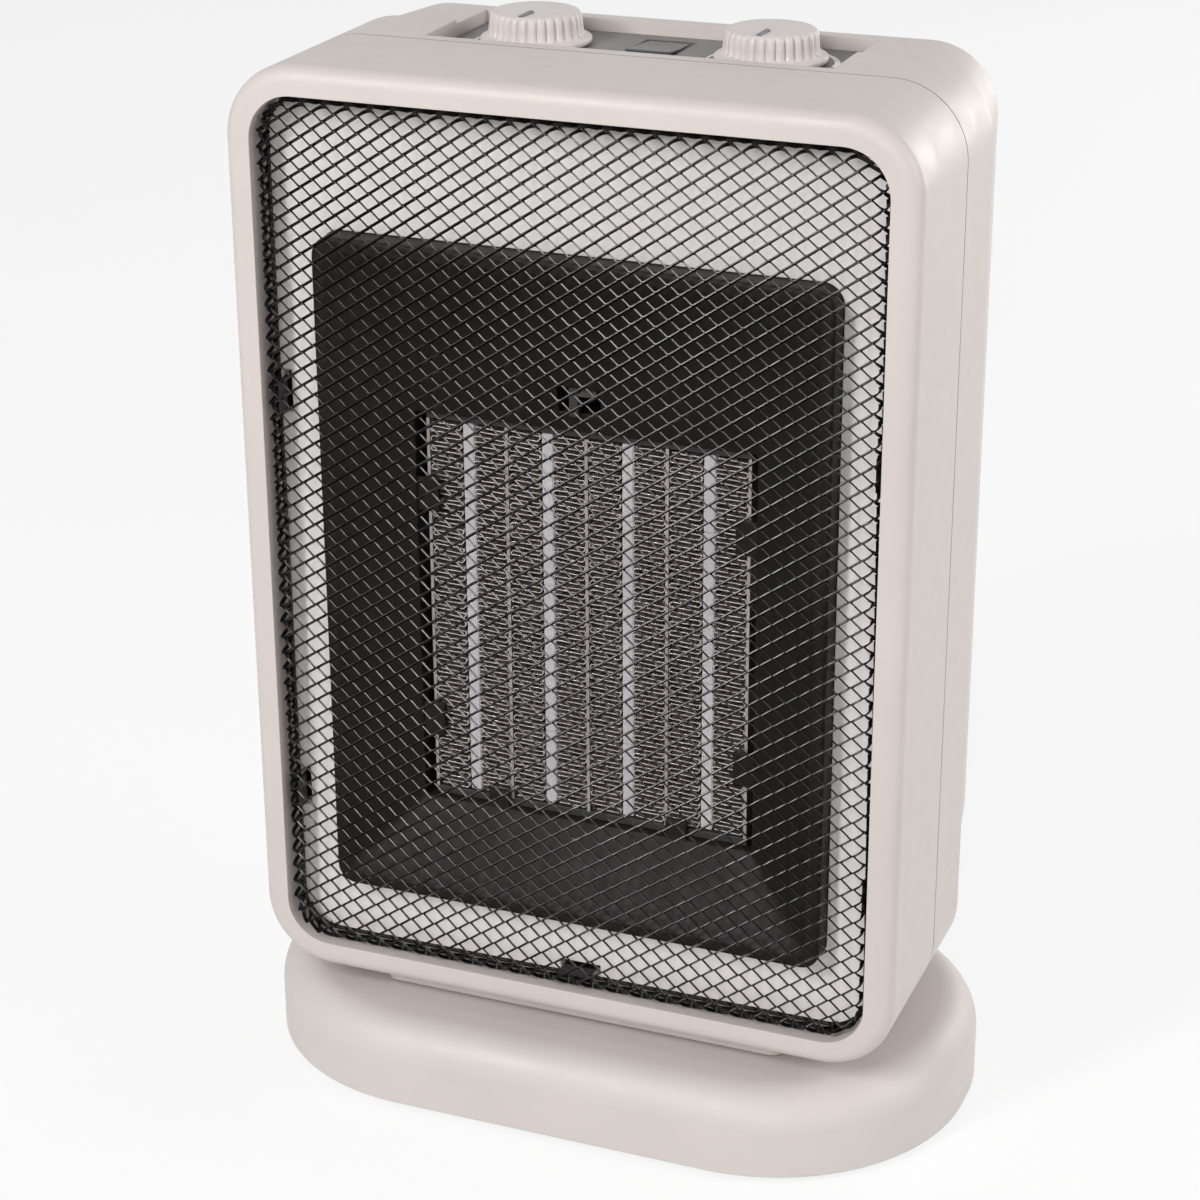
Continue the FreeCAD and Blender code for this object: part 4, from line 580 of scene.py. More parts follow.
class Bench:
    """Where pieces are put together, and CAD nodes get their finishes."""

    @staticmethod
    def mesh(name: str, spots: np.ndarray, faces: Sequence[Sequence[int]], sharp: float) -> bpy.types.Mesh:
        """Make a smooth mesh from points in millimetres.

        Args:
            name: Name of the mesh.
            spots: Points, one row each, in millimetres.
            faces: Point numbers of each face.
            sharp: Angle in degrees above which an edge stays sharp.

        Returns:
            The mesh, in metres.
        """
        made = bpy.data.meshes.new(name)
        made.from_pydata((np.asarray(spots) * MM).tolist(), [], [list(map(int, face)) for face in faces])
        made.polygons.foreach_set("use_smooth", [True] * len(made.polygons))
        made.set_sharp_from_angle(angle=math.radians(sharp))
        made.update()
        return made

    @staticmethod
    def block(made: bmesh.types.BMesh, centre: Triple, size: Triple) -> None:
        """Add a block to a mesh in the making, by its middle and its lengths in millimetres."""
        shape = Matrix.Diagonal((*(length * MM for length in size), 1.0))
        bmesh.ops.create_cube(made, size=1.0, matrix=Matrix.Translation(Vector(centre) * MM) @ shape)

    @staticmethod
    def done(made: bmesh.types.BMesh, name: str, bevel: float = 0.0, segments: int = 2) -> bpy.types.Mesh:
        """Turn a mesh in the making into a mesh.

        Args:
            made: The mesh in the making.
            name: Name of the mesh.
            bevel: Width of the bevel on its edges in millimetres, or 0 for none.
            segments: Faces across a bevel.

        Returns:
            The mesh, in metres.
        """
        if bevel:
            bmesh.ops.bevel(made, geom=made.edges[:], offset=bevel * MM, segments=segments, affect="EDGES")
        mesh = bpy.data.meshes.new(name)
        made.to_mesh(mesh)
        made.free()
        return mesh

    @staticmethod
    def piece(
        mesh: bpy.types.Mesh, body: str, finish: Finish, slot: str, stands_for: Sequence[str] = ()
    ) -> None:
        """Put a piece in the scene.

        Args:
            mesh: The piece's mesh, in the row frame.
            body: CAD body that it rides on.
            finish: Its finish.
            slot: The record's material slot; not used.
            stands_for: CAD nodes that it replaces.
        """
        made = bpy.data.objects.new(mesh.name, mesh)
        bpy.context.scene.collection.objects.link(made)
        mesh.materials.clear()
        mesh.materials.append(finish.material())
        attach(made, body)
        if stands_for:
            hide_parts(*stands_for)
        log.info("%s rides on %s with %d faces", made.name, body, len(mesh.polygons))

    @staticmethod
    def dress(finish: Finish, *nodes: str) -> None:
        """Give CAD nodes a finish."""
        for node in nodes:
            for place in frame["nodes"][node].material_slots:
                place.material = finish.material()
            log.info("%s has the finish %s", node, finish.name)

    @staticmethod
    def loft(rings: Sequence[np.ndarray], closed: bool = True) -> tuple[np.ndarray, Faces]:
        """Join rings of points with faces and close the ends.

        Args:
            rings: Rings with the same number of points.
            closed: Whether the first and last ring are capped.

        Returns:
            The points and the faces.
        """
        count = len(rings[0])
        faces = []
        for row in range(len(rings) - 1):
            for step in range(count):
                after = (step + 1) % count
                low, high = row * count, (row + 1) * count
                faces.append([low + step, low + after, high + after, high + step])
        if closed:
            faces.append(list(range(count))[::-1])
            faces.append([(len(rings) - 1) * count + step for step in range(count)])
        return np.concatenate(rings), faces

    @staticmethod
    def joined(parts: Sequence[tuple[np.ndarray, Faces]]) -> tuple[np.ndarray, Faces]:
        """Put the points and faces of several parts together.

        Args:
            parts: Points and faces of each part.

        Returns:
            The points and the faces of all of them.
        """
        faces = []
        start = 0
        for spots, around in parts:
            faces += [[start + number for number in face] for face in around]
            start += len(spots)
        return np.concatenate([spots for spots, _ in parts]), faces


@dataclass
class MeshGrille:
    """The black expanded-metal tray: zigzag strands joined at their bonds, bent back on four sides.

    The sheet is drawn a little wider towards the bottom, by draw_x and draw_z for each millimetre.
    A strand leans, and comes forward by lift at its low bonds and goes back by as much at its high ones.
    """

    half_width: float = 84.9
    low: float = 40.1
    high: float = 283.9
    front: float = -44.4
    back: float = -36.6
    corner: float = 11.9
    bend: float = 1.7
    long_way: float = 6.826
    short_way: float = 4.679
    shift_x: float = 2.853
    shift_z: float = -0.125
    draw_x: float = 0.00052
    draw_z: float = 0.00277
    bond: float = 0.3
    strand: float = 1.05
    sheet: float = 0.42
    joined: float = 0.5
    lift: float = 0.46
    lean: float = 62.0
    broken: float = 0.06
    border: float = 1.6
    border_half: float = 0.18
    prong_rows: tuple[float, float] = (83.3, 201.3)
    prong_ends: tuple[float, float] = (41.9, 282.1)
    prong_out: float = 83.1
    prong_deep: float = -35.1
    prong_size: Triple = (0.9, 11.2, 9.2)

    def fold(self, across: np.ndarray, rise: np.ndarray) -> tuple[np.ndarray, np.ndarray, np.ndarray]:
        """Carry points of the flat sheet on to the bent tray.

        Args:
            across: Points' places along X from the middle.
            rise: Points' places along Z from the middle.

        Returns:
            The bent points, the sheet's outward normals, and how far past the bend line each lies.
        """
        half_sheet = self.skin()
        reach_x = self.half_width - half_sheet - self.bend
        reach_z = (self.high - self.low) / 2 - half_sheet - self.bend
        corner = self.corner - half_sheet - self.bend
        inner_x = np.abs(across) - (reach_x - corner)
        inner_z = np.abs(rise) - (reach_z - corner)
        out_x = np.maximum(inner_x, 0.0)
        out_z = np.maximum(inner_z, 0.0)
        long = np.hypot(out_x, out_z)
        past = long - corner + np.minimum(np.maximum(inner_x, inner_z), 0.0)
        safe = np.where(long > 1e-9, long, 1.0)
        way_x = np.sign(across) * out_x / safe
        way_z = np.sign(rise) * out_z / safe
        turn = np.clip(past / self.bend, 0.0, math.pi / 2)
        outward = self.bend * np.sin(turn) - np.maximum(past, 0.0)
        straight = np.maximum(past - self.bend * math.pi / 2, 0.0)
        depth = self.bend * (1 - np.cos(turn)) + straight
        spots = np.stack(
            [
                across + way_x * outward,
                self.front + half_sheet + depth,
                rise + way_z * outward + (self.high + self.low) / 2,
            ],
            axis=1,
        )
        normals = np.stack([way_x * np.sin(turn), -np.cos(turn), way_z * np.sin(turn)], axis=1)
        return spots, normals, past

    def skin(self) -> float:
        """Half of the net's full thickness, with its strands leaning."""
        lean = math.radians(self.lean)
        return self.strand / 2 * math.sin(lean) + self.sheet / 2 * math.cos(lean) + self.lift

    def flange(self) -> float:
        """Length of the sheet past the bend line."""
        return self.bend * math.pi / 2 + self.back - self.front - self.skin() - self.bend

    def section(self) -> np.ndarray:
        """Outline of a strand across its run, with its corners broken."""
        wide, thick, chamfer = self.strand / 2, self.sheet / 2, self.broken
        corner = [(wide, thick - chamfer), (wide - chamfer, thick)]
        half = corner + [(-across, out) for across, out in reversed(corner)]
        return np.array(half + [(-across, -out) for across, out in half])

    def strand_path(self, row: int) -> tuple[np.ndarray, np.ndarray, np.ndarray]:
        """Zigzag line of one strand over the flat sheet.

        Args:
            row: Number of the strand, counted from the middle.

        Returns:
            Places along X and Z, and how far each stands out of the sheet.
        """
        reach = self.half_width + self.flange()
        count = int(reach / self.long_way) + 3
        share = self.bond / self.long_way
        marks = np.array([-share, share, 0.25, 0.5 - share, 0.5 + share, 0.75])
        level = np.array([1.0, 1.0, 0.0, -1.0, -1.0, 0.0])
        turns = np.arange(-count, count + 1)
        phase = (turns[:, None] + marks[None, :]).ravel()
        wave = np.tile(level, len(turns))
        offset = 0.5 if row % 2 else 0.0
        across = (phase + offset) * self.long_way + self.shift_x
        swing = (self.short_way / 2 - self.joined) / 2
        fine = np.linspace(0, len(across) - 1, (len(across) - 1) * 2 + 1)
        steps = np.arange(len(across))
        rise = row * self.short_way / 2 + self.shift_z + swing * wave
        rise = self.short_way / self.draw_z * (1 - np.exp(-self.draw_z * rise / self.short_way))
        across = across * (1 - self.draw_x * rise)
        lift = -self.lift * wave
        return np.interp(fine, steps, across), np.interp(fine, steps, rise), np.interp(fine, steps, lift)

    def net(self) -> tuple[np.ndarray, Faces]:
        """Sweep every strand along its line.

        Returns:
            Points and faces of the whole net.
        """
        outline = self.section()
        parts = []
        # A few rows more than the mean spacing needs, since they lie closer towards the top.
        rows = int(((self.high - self.low) / 2 + self.flange()) / (self.short_way / 2)) + 5
        for row in range(-rows, rows + 1):
            across, rise, lift = self.strand_path(row)
            line, normal, past = self.fold(across, rise)
            line += normal * lift[:, None]
            # On the flat sheet the points halfway along a side aren't needed.
            flat = past < -1.0
            for first, last in self.runs(past < self.flange()):
                keep = np.arange(first, last)
                keep = keep[~(flat[keep] & (keep % 2 == 1))]
                if len(keep) >= 3:
                    parts.append(Bench.loft(self.sweep(line[keep], normal[keep], outline)))
        return Bench.joined(parts)

    @staticmethod
    def runs(inside: np.ndarray) -> list[tuple[int, int]]:
        """Return the first number of each unbroken run of true values, and the one after its last."""
        edges = np.flatnonzero(np.diff(np.concatenate([[0], inside.astype(int), [0]])))
        return list(zip(edges[::2].tolist(), edges[1::2].tolist()))

    def sweep(self, line: np.ndarray, normal: np.ndarray, outline: np.ndarray) -> list[np.ndarray]:
        """Set the strand's outline square to its line at each point.

        Args:
            line: Points of the strand's middle.
            normal: The sheet's normal at each point.
            outline: The strand's outline.

        Returns:
            A ring of points for each point of the line.
        """
        step = np.diff(line, axis=0)
        step /= np.linalg.norm(step, axis=1, keepdims=True)
        after = np.concatenate([step, step[-1:]])
        run = after + np.concatenate([step[:1], step])
        run /= np.linalg.norm(run, axis=1, keepdims=True)
        beside = np.cross(normal, run)
        beside /= np.linalg.norm(beside, axis=1, keepdims=True)
        out = np.cross(run, beside)
        beside /= np.sum(run * after, axis=1, keepdims=True)
        lean = math.radians(self.lean)
        wide = beside * math.cos(lean) + out * math.sin(lean)
        thick = out * math.cos(lean) - beside * math.sin(lean)
        return [
            line[spot] + outline[:, :1] * wide[spot] + outline[:, 1:] * thick[spot]
            for spot in range(len(line))
        ]

    def build(self) -> None:
        """Make the net, its border and its prongs."""
        spots, faces = self.net()
        mesh = Bench.mesh("expanded_net", spots, faces, 10)
        Bench.piece(mesh, "head", BLACK_NET, "grille_black", ["mesh_grille"])
        self.hem()
        self.prongs()

    def hem(self) -> None:
        """Make the sheet's plain border, which ends the bent sides; its solid black also stands in for the
        shade behind them.
        """
        radius = self.corner - self.skin()
        reach_x = self.half_width - self.corner
        reach_z = (self.high - self.low) / 2 - self.corner
        rings = []
        for quarter, (side_x, side_z) in enumerate(((1, 1), (-1, 1), (-1, -1), (1, -1))):
            for turn in np.radians(np.linspace(quarter * 90, quarter * 90 + 90, 10)):
                way = np.array([math.cos(turn), 0.0, math.sin(turn)])
                middle = np.array([side_x * reach_x, 0.0, side_z * reach_z + (self.high + self.low) / 2])
                ring = []
                for side, depth in ((-1, self.border), (1, self.border), (1, 0.0), (-1, 0.0)):
                    out = way * (radius + side * self.border_half)
                    ring.append(middle + out + np.array([0.0, self.back - depth, 0.0]))
                rings.append(np.array(ring))
        rings.append(rings[0])
        # Partly painted shade: this solid band darkens the bent sides where shade lies behind them.
        spots, faces = Bench.loft(rings, False)
        mesh = Bench.mesh("grille_border", spots, faces, 40)
        Bench.piece(mesh, "head", BLACK_NET, "grille_black")

    def prongs(self) -> None:
        """Make the sheet prongs that hold the tray in the housing's slots."""
        made = bmesh.new()
        thin, deep, wide = self.prong_size
        for side in Side:
            for height in self.prong_rows:
                Bench.block(made, (side.value * self.prong_out, self.prong_deep, height), (thin, deep, wide))
        for height in self.prong_ends:
            Bench.block(made, (0.0, self.prong_deep, height), (wide, deep, thin))
        Bench.piece(Bench.done(made, "grille_prongs", 0.15), "head", BLACK_NET, "grille_black")


@dataclass
class HeaterElement:
    """The heating block: folded fins glued to ceramic strips between metal plates.

    A fin's runs stray by waver, tilt and sag, and each run's edge lies up to dent behind the front. A run
    with the fold after it has as many points as points says.
    """

    plate: float = 0.9
    fin: float = 9.25
    strip: float = 3.3
    tablets: int = 5
    side_gap: float = 0.16
    end_gap: float = 0.12
    modules: int = 4
    waves: int = 40
    foil: float = 0.26
    glue: float = 0.06
    waver: float = 0.09
    tilt: float = 0.3
    sag: float = 0.12
    dent: float = 0.25
    points: int = 8
    low: float = 87.3
    high: float = 195.6
    front: float = -27.0
    back: float = -12.5
    sunk: float = 0.7
    seed: int = 7

    def columns(self) -> list[tuple[float, float]]:
        """Left and right edge of each fin column.

        Returns:
            Pairs of X places in millimetres.
        """
        pitch = self.plate + 2 * self.fin + self.strip
        start = -(self.modules * pitch + self.plate) / 2
        found = []
        for module in range(self.modules):
            left = start + module * pitch + self.plate
            found.append((left, left + self.fin))
            found.append((left + self.fin + self.strip, left + 2 * self.fin + self.strip))
        return found

    def serpentine(self, left: float, right: float, rng: random.Random) -> np.ndarray:
        """Line of one folded fin seen from the front.

        Args:
            left: Left edge of the column.
            right: Right edge of the column.
            rng: Source of the small unevenness.

        Returns:
            Points in X and Z.
        """
        gap = self.foil / 2 + self.glue
        runs = self.waves * 2
        step = (self.high - self.low) / runs
        radius = step / 2
        line = []
        for run in range(runs):
            forward = run % 2 == 0
            near, far = (left, right) if forward else (right, left)
            way = 1.0 if forward else -1.0
            level = self.low + (run + 0.5) * step + rng.uniform(-self.waver, self.waver)
            tip = rng.uniform(-self.tilt, self.tilt) - way * self.tilt
            sag = rng.uniform(-self.sag, self.sag)
            begin = near + way * (gap + radius)
            end = far - way * (gap + radius)
            for share in (0.0, 0.33, 0.67, 1.0):
                bow = sag * (1 - (2 * share - 1) ** 2)
                line.append((begin + (end - begin) * share, level + tip * (share - 0.5) + bow))
            if run < runs - 1:
                middle = self.low + (run + 1) * step
                for turn in (-50, -20, 20, 50):
                    angle = math.radians(turn)
                    line.append((end + way * radius * math.cos(angle), middle + radius * math.sin(angle)))
        return np.array(line)

    def ribbon(self, line: np.ndarray, rng: random.Random) -> list[np.ndarray]:
        """Give a folded line its foil thickness and its depth.

        Args:
            line: Points in X and Z.
            rng: Source of the small unevenness.

        Returns:
            A ring of four points for each point of the line.
        """
        run = np.gradient(line, axis=0)
        run /= np.linalg.norm(run, axis=1, keepdims=True)
        side = np.stack([-run[:, 1], run[:, 0]], axis=1) * self.foil / 2
        rings = []
        front = self.front
        for number, (spot, off) in enumerate(zip(line, side)):
            if number % self.points == 0:
                front = self.front + rng.uniform(0.0, self.dent)
            near, far = spot + off, spot - off
            ring = [(near, front), (far, front), (far, self.back), (near, self.back)]
            rings.append(np.array([(place[0], deep, place[1]) for place, deep in ring]))
        return rings

    def build(self) -> None:
        """Make the folded fins and the strips between them."""
        self.strips()
        rng = random.Random(self.seed)
        parts = []
        for left, right in self.columns():
            parts.append(Bench.loft(self.ribbon(self.serpentine(left, right, rng), rng)))
        spots, faces = Bench.joined(parts)
        mesh = Bench.mesh("folded_fins", spots, faces, 50)
        Bench.piece(mesh, "head", FOLDED_FIN, "fin_metal", ["heater_fins"])

    def strips(self) -> None:
        """Make the ceramic strips, each a row of pressed tablets sunk a little behind the fins' edges."""
        made = bmesh.new()
        columns = self.columns()
        long = (self.high - self.low) / self.tablets
        deep = self.back - self.front - self.sunk
        size = (self.strip - self.side_gap, deep, long - self.end_gap)
        for before, after in zip(columns[::2], columns[1::2]):
            for number in range(self.tablets):
                centre = ((before[1] + after[0]) / 2, self.back - deep / 2, self.low + (number + 0.5) * long)
                Bench.block(made, centre, size)
        mesh = Bench.done(made, "pressed_strips", 0.22)
        Bench.piece(mesh, "head", STRIP, "ceramic_white", ["ptc_strips"])

    def dress(self) -> None:
        """Give the plates and end caps their finishes."""
        Bench.dress(DIVIDER, "contact_plates")
        Bench.dress(HEAT_CAP, "heater_end_caps")


@dataclass
class Housing:
    """The two pale shells, the dish with its catch, and the screws that join them.

    The catch's head is a wedge, given by Y, Z and the ends in X of its three long edges.
    """

    shells: tuple[str, ...] = ("front_housing", "rear_housing")
    screws: tuple[str, ...] = ("housing_screws", "dish_screws")
    bar_centre: Triple = (-1.2, -31.6, 207.8)
    bar_size: Triple = (2.6, 2.0, 8.6)
    wedge: tuple[tuple[float, float, float, float], ...] = (
        (-33.0, 209.4, -0.2, 5.4),
        (-30.2, 209.4, -0.2, 5.4),
        (-30.2, 212.4, 2.0, 4.4),
    )

    def dress(self) -> None:
        """Give the shells, the dish and the screws their finishes."""
        Bench.dress(PALE_SHELL, *self.shells)
        Bench.dress(CHARCOAL_DISH, "outlet_dish")
        Bench.dress(SCREW, *self.screws)

    def build(self) -> None:
        """Make the catch in the dish's slot: a bar across it and a head with a sloped top, in a lighter grey
        than the dish as painted light.
        """
        made = bmesh.new()
        Bench.block(made, self.bar_centre, self.bar_size)
        corners = []
        for y, z, left, right in self.wedge:
            corners.append([made.verts.new(Vector((x, y, z)) * MM) for x in (left, right)])
        for first, second in ((0, 1), (1, 2), (2, 0)):
            made.faces.new(corners[first] + corners[second][::-1])
        for side in range(2):
            made.faces.new([pair[side] for pair in corners])
        bmesh.ops.recalc_face_normals(made, faces=made.faces[:])
        # Painted light: the catch is dish plastic, but takes the caps' lighter grey so that its sloped head
        # looks lit.
        Bench.piece(Bench.done(made, "dish_catch", 0.15), "head", HEAT_CAP, "dish_black")


@dataclass
class FanUnit:
    """The fan behind the element: duct, motor, impeller and the parts beside them."""

    duct: tuple[str, ...] = ("fan_shroud",)
    sheet: tuple[str, ...] = ("motor_can", "overheat_cutout")
    caps: tuple[str, ...] = ("motor_end_cap", "terminal_block")

    def dress(self) -> None:
        """Give the fan's parts their finishes."""
        Bench.dress(DUCT, *self.duct)
        Bench.dress(ZINC, *self.sheet)
        Bench.dress(HEAT_CAP, *self.caps)
        Bench.dress(BRASS, "motor_bushes", "impeller_nut")
        Bench.dress(GROUND_STEEL, "motor_rotor")
        Bench.dress(BLADE, "impeller")
        Bench.dress(SCREW, "shroud_screws")


@dataclass
class Knob:
    """A fluted knob with a skirt, a grip and an inlaid pointer.

    The profile gives radius, height and depth of the flutes from the skirt up to the top.
    """

    name: str
    body: str
    node: str
    centre_x: float
    centre_y: float = 21.0
    base: float = 288.1
    flutes: int = 30
    around: int = 240
    profile: tuple[Triple, ...] = (
        (12.3, 0.0, 0.0),
        (14.65, 0.0, 0.0),
        (14.95, 0.3, 0.0),
        (14.95, 1.2, 0.0),
        (14.65, 1.5, 0.0),
        (13.4, 1.8, 0.0),
        (13.0, 2.1, 0.35),
        (12.8, 2.6, 0.8),
        (12.55, 4.6, 0.8),
        (12.3, 6.9, 0.8),
        (12.0, 7.7, 0.6),
        (11.5, 8.2, 0.2),
        (10.8, 8.4, 0.0),
        (8.5, 8.27, 0.0),
        (3.8, 8.15, 0.0),
    )
    pointer_out: float = 6.6
    pointer_up: float = 8.35
    pointer_size: Triple = (1.4, 8.0, 0.7)

    def build(self) -> None:
        """Make the knob and its pointer."""
        turn = np.linspace(0, 2 * math.pi, self.around, endpoint=False)
        groove = 0.5 - 0.5 * np.cos(self.flutes * turn)
        rings = []
        for radius, height, depth in self.profile:
            far = radius - depth * groove**3
            ring = np.stack([far * np.cos(turn), far * np.sin(turn), np.full_like(turn, height)], axis=1)
            rings.append(ring + np.array([self.centre_x, self.centre_y, self.base]))
        spots, faces = Bench.loft(rings)
        mesh = Bench.mesh(self.name, spots, faces, 45)
        Bench.piece(mesh, self.body, KNOB_PALE, "knob_white", [self.node])
        self.pointer()

    def pointer(self) -> None:
        """Make the bar let into the knob's top."""
        made = bmesh.new()
        centre = (self.centre_x, self.centre_y - self.pointer_out, self.base + self.pointer_up)
        Bench.block(made, centre, self.pointer_size)
        Bench.piece(Bench.done(made, self.name + "_pointer", 0.2, 3), self.body, POINTER_GREY, "rocker_grey")


@dataclass
class ControlTop:
    """The panel on top: two knobs, a rocker, a lamp and the marks around them."""

    spread: float = 33.0
    centre_y: float = 21.0
    top: float = 287.5
    ring: float = 17.2
    ink: float = 0.06
    stops: int = 4
    stop_turn: float = 45.0
    dot_turn: float = 4.6
    dot_radius: float = 0.55
    wedge_turn: float = 270.0
    wedge_steps: int = 72

    def build(self) -> None:
        """Make the knobs and the printed marks."""
        Knob("mode_grip", "mode_dial", "mode_knob", -self.spread).build()
        Knob("thermostat_grip", "thermostat_dial", "thermostat_knob", self.spread).build()
        self.steps()
        self.wedge()

    def dot(self, made: bmesh.types.BMesh, x: float, y: float) -> None:
        """Add a flat printed dot to a mesh in the making, at x and y in millimetres."""
        bmesh.ops.create_cone(
            made,
            cap_ends=True,
            segments=24,
            radius1=self.dot_radius * MM,
            radius2=self.dot_radius * 0.92 * MM,
            depth=self.ink * MM,
            matrix=Matrix.Translation(Vector((x, y, self.top + self.ink / 2)) * MM),
        )

    def steps(self) -> None:
        """Print the mode knob's stops as one to four dots."""
        made = bmesh.new()
        for stop in range(self.stops):
            for extra in range(stop + 1):
                turn = math.radians(-self.stop_turn * stop + (extra - stop / 2) * self.dot_turn)
                x = -self.spread + self.ring * math.sin(turn)
                self.dot(made, x, self.centre_y - self.ring * math.cos(turn))
        Bench.piece(Bench.done(made, "mode_marks"), "head", MARK_WHITE, "knob_white")

    def wedge(self) -> None:
        """Print the thermostat's growing band."""
        rings = []
        centre = np.array([self.spread, self.centre_y, self.top])
        for step in range(self.wedge_steps + 1):
            share = step / self.wedge_steps
            turn = math.radians(-self.wedge_turn * share)
            way = np.array([math.sin(turn), -math.cos(turn), 0.0])
            half = 0.15 + 0.65 * share
            ring = []
            for off, lift in ((-half, 0.0), (half, 0.0), (half, self.ink), (-half, self.ink)):
                ring.append(centre + way * (self.ring + off) + np.array([0.0, 0.0, lift]))
            rings.append(np.array(ring))
        spots, faces = Bench.loft(rings)
        mesh = Bench.mesh("thermostat_marks", spots, faces, 30)
        Bench.piece(mesh, "head", MARK_WHITE, "knob_white")

    def dress(self) -> None:
        """Give the panel, switches and lamp their finishes."""
        Bench.dress(PANEL_GREY, "control_panel")
        Bench.dress(SWITCH_BLACK, "mode_switch", "thermostat", "rocker_case")
        Bench.dress(ROCKER_DARK, "oscillation_rocker")
        Bench.dress(GROUND_STEEL, "mode_spindle", "thermostat_spindle")
        Bench.dress(AMBER, "indicator_lens")


@dataclass
class SwivelBase:
    """The oval foot with its bush, drive, tip switch and gland."""

    shells: tuple[str, ...] = ("base_cover", "swivel_plinth")
    gears: tuple[str, ...] = ("swivel_bush", "drive_sector", "drive_pinion")
    screws: tuple[str, ...] = ("base_screws", "drive_screws", "plinth_screws", "sector_screws")

    def dress(self) -> None:
        """Give the base's parts their finishes."""
        Bench.dress(PALE_BASE, *self.shells)
        Bench.dress(SWITCH_BLACK, "base_plate", "tip_switch", "tip_plunger")
        Bench.dress(NYLON, *self.gears)
        Bench.dress(SCREW, *self.screws)
        Bench.dress(ZINC, "oscillation_motor")
        Bench.dress(GROUND_STEEL, "pinion_shaft")
        Bench.dress(RUBBER, "rubber_feet")
        Bench.dress(GLAND, "cord_gland")


@dataclass
class Lamp:
    """A soft box of the studio."""

    name: str
    place: Triple
    aim: Triple
    wide: float
    tall: float
    power: float

    def build(self) -> None:
        """Hang the soft box."""
        data = bpy.data.lights.new(self.name, "AREA")
        data.shape = "RECTANGLE"
        data.size = self.wide
        data.size_y = self.tall
        data.energy = self.power
        made = bpy.data.objects.new(self.name, data)
        bpy.context.scene.collection.objects.link(made)
        made.location = self.place
        way = Vector(self.aim) - Vector(self.place)
        made.rotation_euler = way.to_track_quat("-Z", "Y").to_euler()


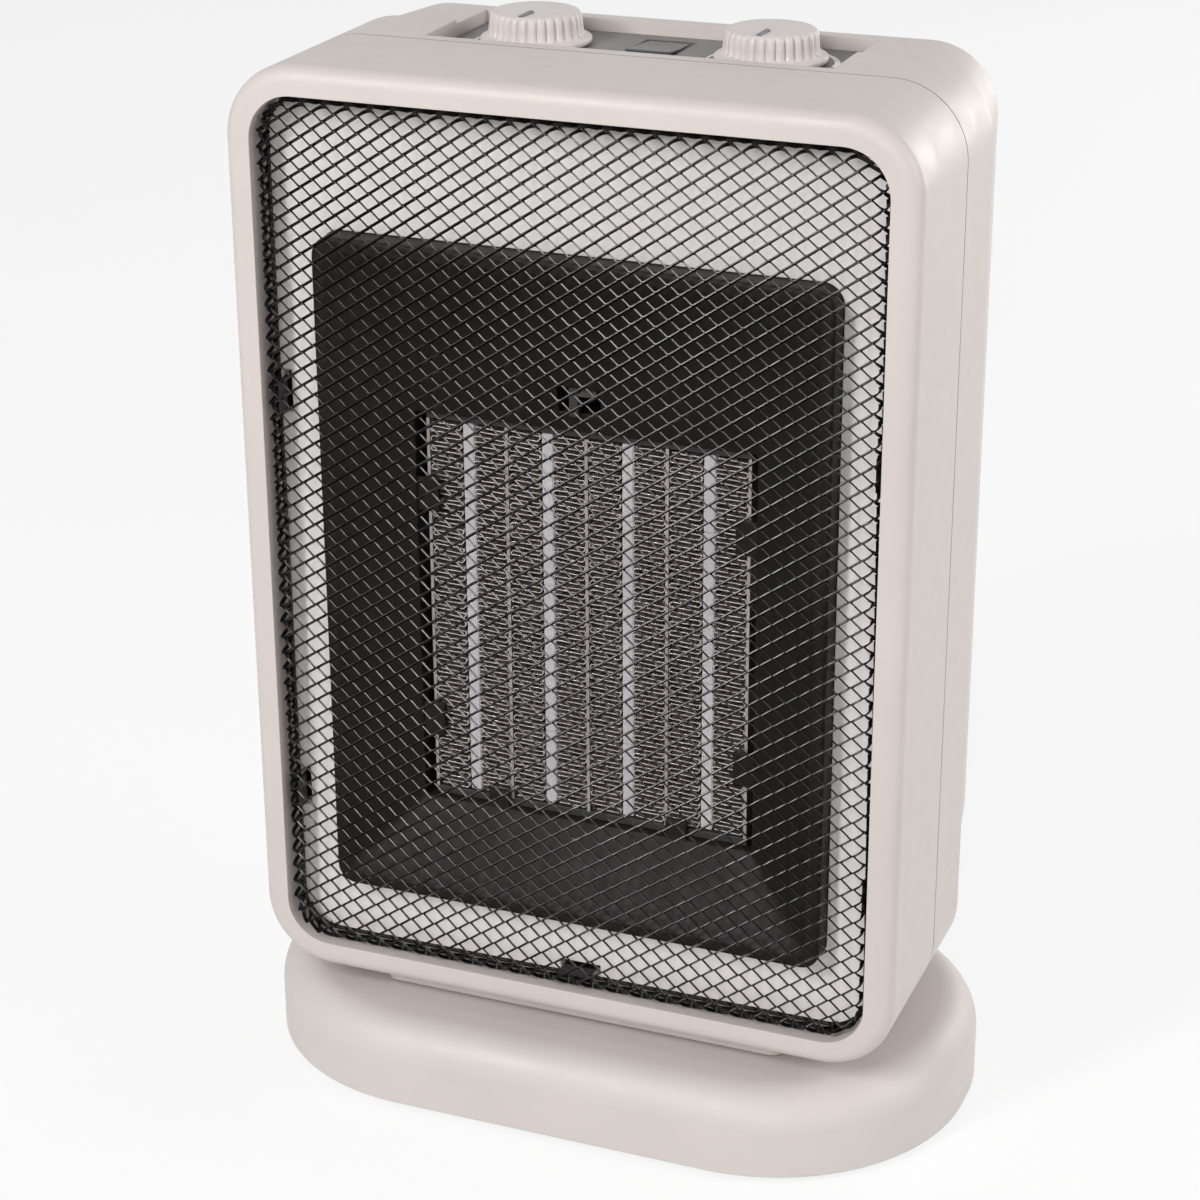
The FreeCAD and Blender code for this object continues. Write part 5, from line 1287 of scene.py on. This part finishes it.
@dataclass
class Studio:
    """Floor, backdrop light, soft boxes and the camera at the photograph's view.

    The floor's rings are given by radius and height in millimetres. Glow is how much of the floor's own
    shade is taken over by the white backdrop, and fill is the backdrop's strength as a light.
    """

    camera_place: Triple = (0.27235, -0.69816, 0.45659)
    yaw: float = 0.3808
    pitch: float = 0.4003
    roll: float = -0.0055
    lens: float = 88.292
    glow: float = 0.82
    fill: float = 0.3
    rings: tuple[tuple[float, float], ...] = (
        (1.0, 0.0),
        (800.0, 0.0),
        (3000.0, 0.0),
        (3600.0, 20.0),
        (4000.0, 120.0),
    )
    lamps: tuple[Lamp, ...] = (
        Lamp("key_box", (-0.43, -1.03, 0.91), (0.0, -0.044, 0.16), 0.16, 0.6, 10.6),
        Lamp("front_box", (0.45, -1.75, 0.8), (0.0, 0.0, 0.15), 0.8, 0.6, 8.0),
        Lamp("right_box", (1.25, 0.12, 0.75), (0.0, 0.0, 0.15), 0.6, 0.6, 7.0),
        Lamp("back_box", (0.7, 1.45, 0.45), (0.0, 0.0, 0.15), 0.8, 0.6, 8.0),
    )

    def build(self) -> None:
        """Set the floor, the light and the camera."""
        self.floor()
        self.world()
        for lamp in self.lamps:
            lamp.build()
        self.camera()

    def floor(self) -> None:
        """Lay the pale floor, a wide disc with a soft upturned edge."""
        turn = np.linspace(0, 2 * math.pi, 96, endpoint=False)
        rings = []
        for radius, height in self.rings:
            ring = [radius * np.cos(turn), radius * np.sin(turn), np.full_like(turn, height)]
            rings.append(np.stack(ring, axis=1))
        spots, faces = Bench.loft(rings, False)
        faces.append(list(range(len(turn))))
        mesh = Bench.mesh("studio_floor", spots, faces, 60)
        made = bpy.data.objects.new("studio_floor", mesh)
        bpy.context.scene.collection.objects.link(made)
        mesh.materials.append(self.paint())

    def paint(self) -> bpy.types.Material:
        """Return the floor's paint, which keeps the shadow and otherwise shows as white as the backdrop."""
        made = bpy.data.materials.new("floor_paint")
        made.use_nodes = True
        desk = Desk(made.node_tree)
        nodes = made.node_tree.nodes
        shader = nodes["Principled BSDF"]
        cloud = desk.ramp(desk.noise(desk.place(), 3.0), 0.3, 0.7)
        tone = desk.blend(cloud, (0.86, 0.86, 0.86, 1.0), (0.88, 0.88, 0.88, 1.0))
        desk.put(shader.inputs["Base Color"], tone)
        desk.put(shader.inputs["Roughness"], 0.9)
        desk.put(shader.inputs["Specular IOR Level"], 0.1)
        glow = desk.add("ShaderNodeEmission", {"Color": (1.0, 1.0, 1.0, 1.0), "Strength": 1.0})
        wires = {0: desk.sum("MULTIPLY", desk.seen(), self.glow), 1: shader.outputs[0], 2: glow.outputs[0]}
        mix = desk.add("ShaderNodeMixShader", wires)
        desk.put(nodes["Material Output"].inputs["Surface"], mix.outputs[0])
        return made

    def world(self) -> None:
        """Fill the room with soft light and keep the backdrop white."""
        world = bpy.data.worlds.new("studio_world")
        bpy.context.scene.world = world
        world.use_nodes = True
        world.node_tree.nodes.clear()
        desk = Desk(world.node_tree)
        level = desk.ramp(desk.seen(), 0.0, 1.0, self.fill, 1.0)
        sky = desk.add("ShaderNodeBackground", {"Color": (1.0, 1.0, 1.0, 1.0), "Strength": level})
        out = desk.add("ShaderNodeOutputWorld")
        desk.put(out.inputs["Surface"], sky.outputs[0])

    def camera(self) -> None:
        """Stand the camera where the photograph was taken from."""
        data = bpy.data.cameras.new("view")
        data.sensor_width = 36.0
        data.lens = self.lens
        data.clip_start = 0.01
        made = bpy.data.objects.new("view", data)
        bpy.context.scene.collection.objects.link(made)
        level = math.cos(self.pitch)
        ahead = Vector((-math.sin(self.yaw) * level, math.cos(self.yaw) * level, -math.sin(self.pitch)))
        right = Vector((math.cos(self.yaw), math.sin(self.yaw), 0.0))
        above = right.cross(ahead)
        tilted = right * math.cos(self.roll) + above * math.sin(self.roll)
        upright = above * math.cos(self.roll) - right * math.sin(self.roll)
        turn = Matrix((tilted, upright, -ahead)).transposed()
        made.matrix_world = Matrix.Translation(Vector(self.camera_place)) @ turn.to_4x4()
        bpy.context.scene.camera = made


def main() -> None:
    """Build the studio and dress every sub-assembly in order."""
    logging.basicConfig(level=logging.INFO, format="%(name)s: %(message)s")
    bpy.context.scene.view_settings.view_transform = "Standard"
    Studio().build()
    housing = Housing()
    housing.build()
    housing.dress()
    MeshGrille().build()
    element = HeaterElement()
    element.build()
    element.dress()
    FanUnit().dress()
    controls = ControlTop()
    controls.build()
    controls.dress()
    SwivelBase().dress()
    bpy.context.view_layer.update()


if __name__ == "__main__":
    main()
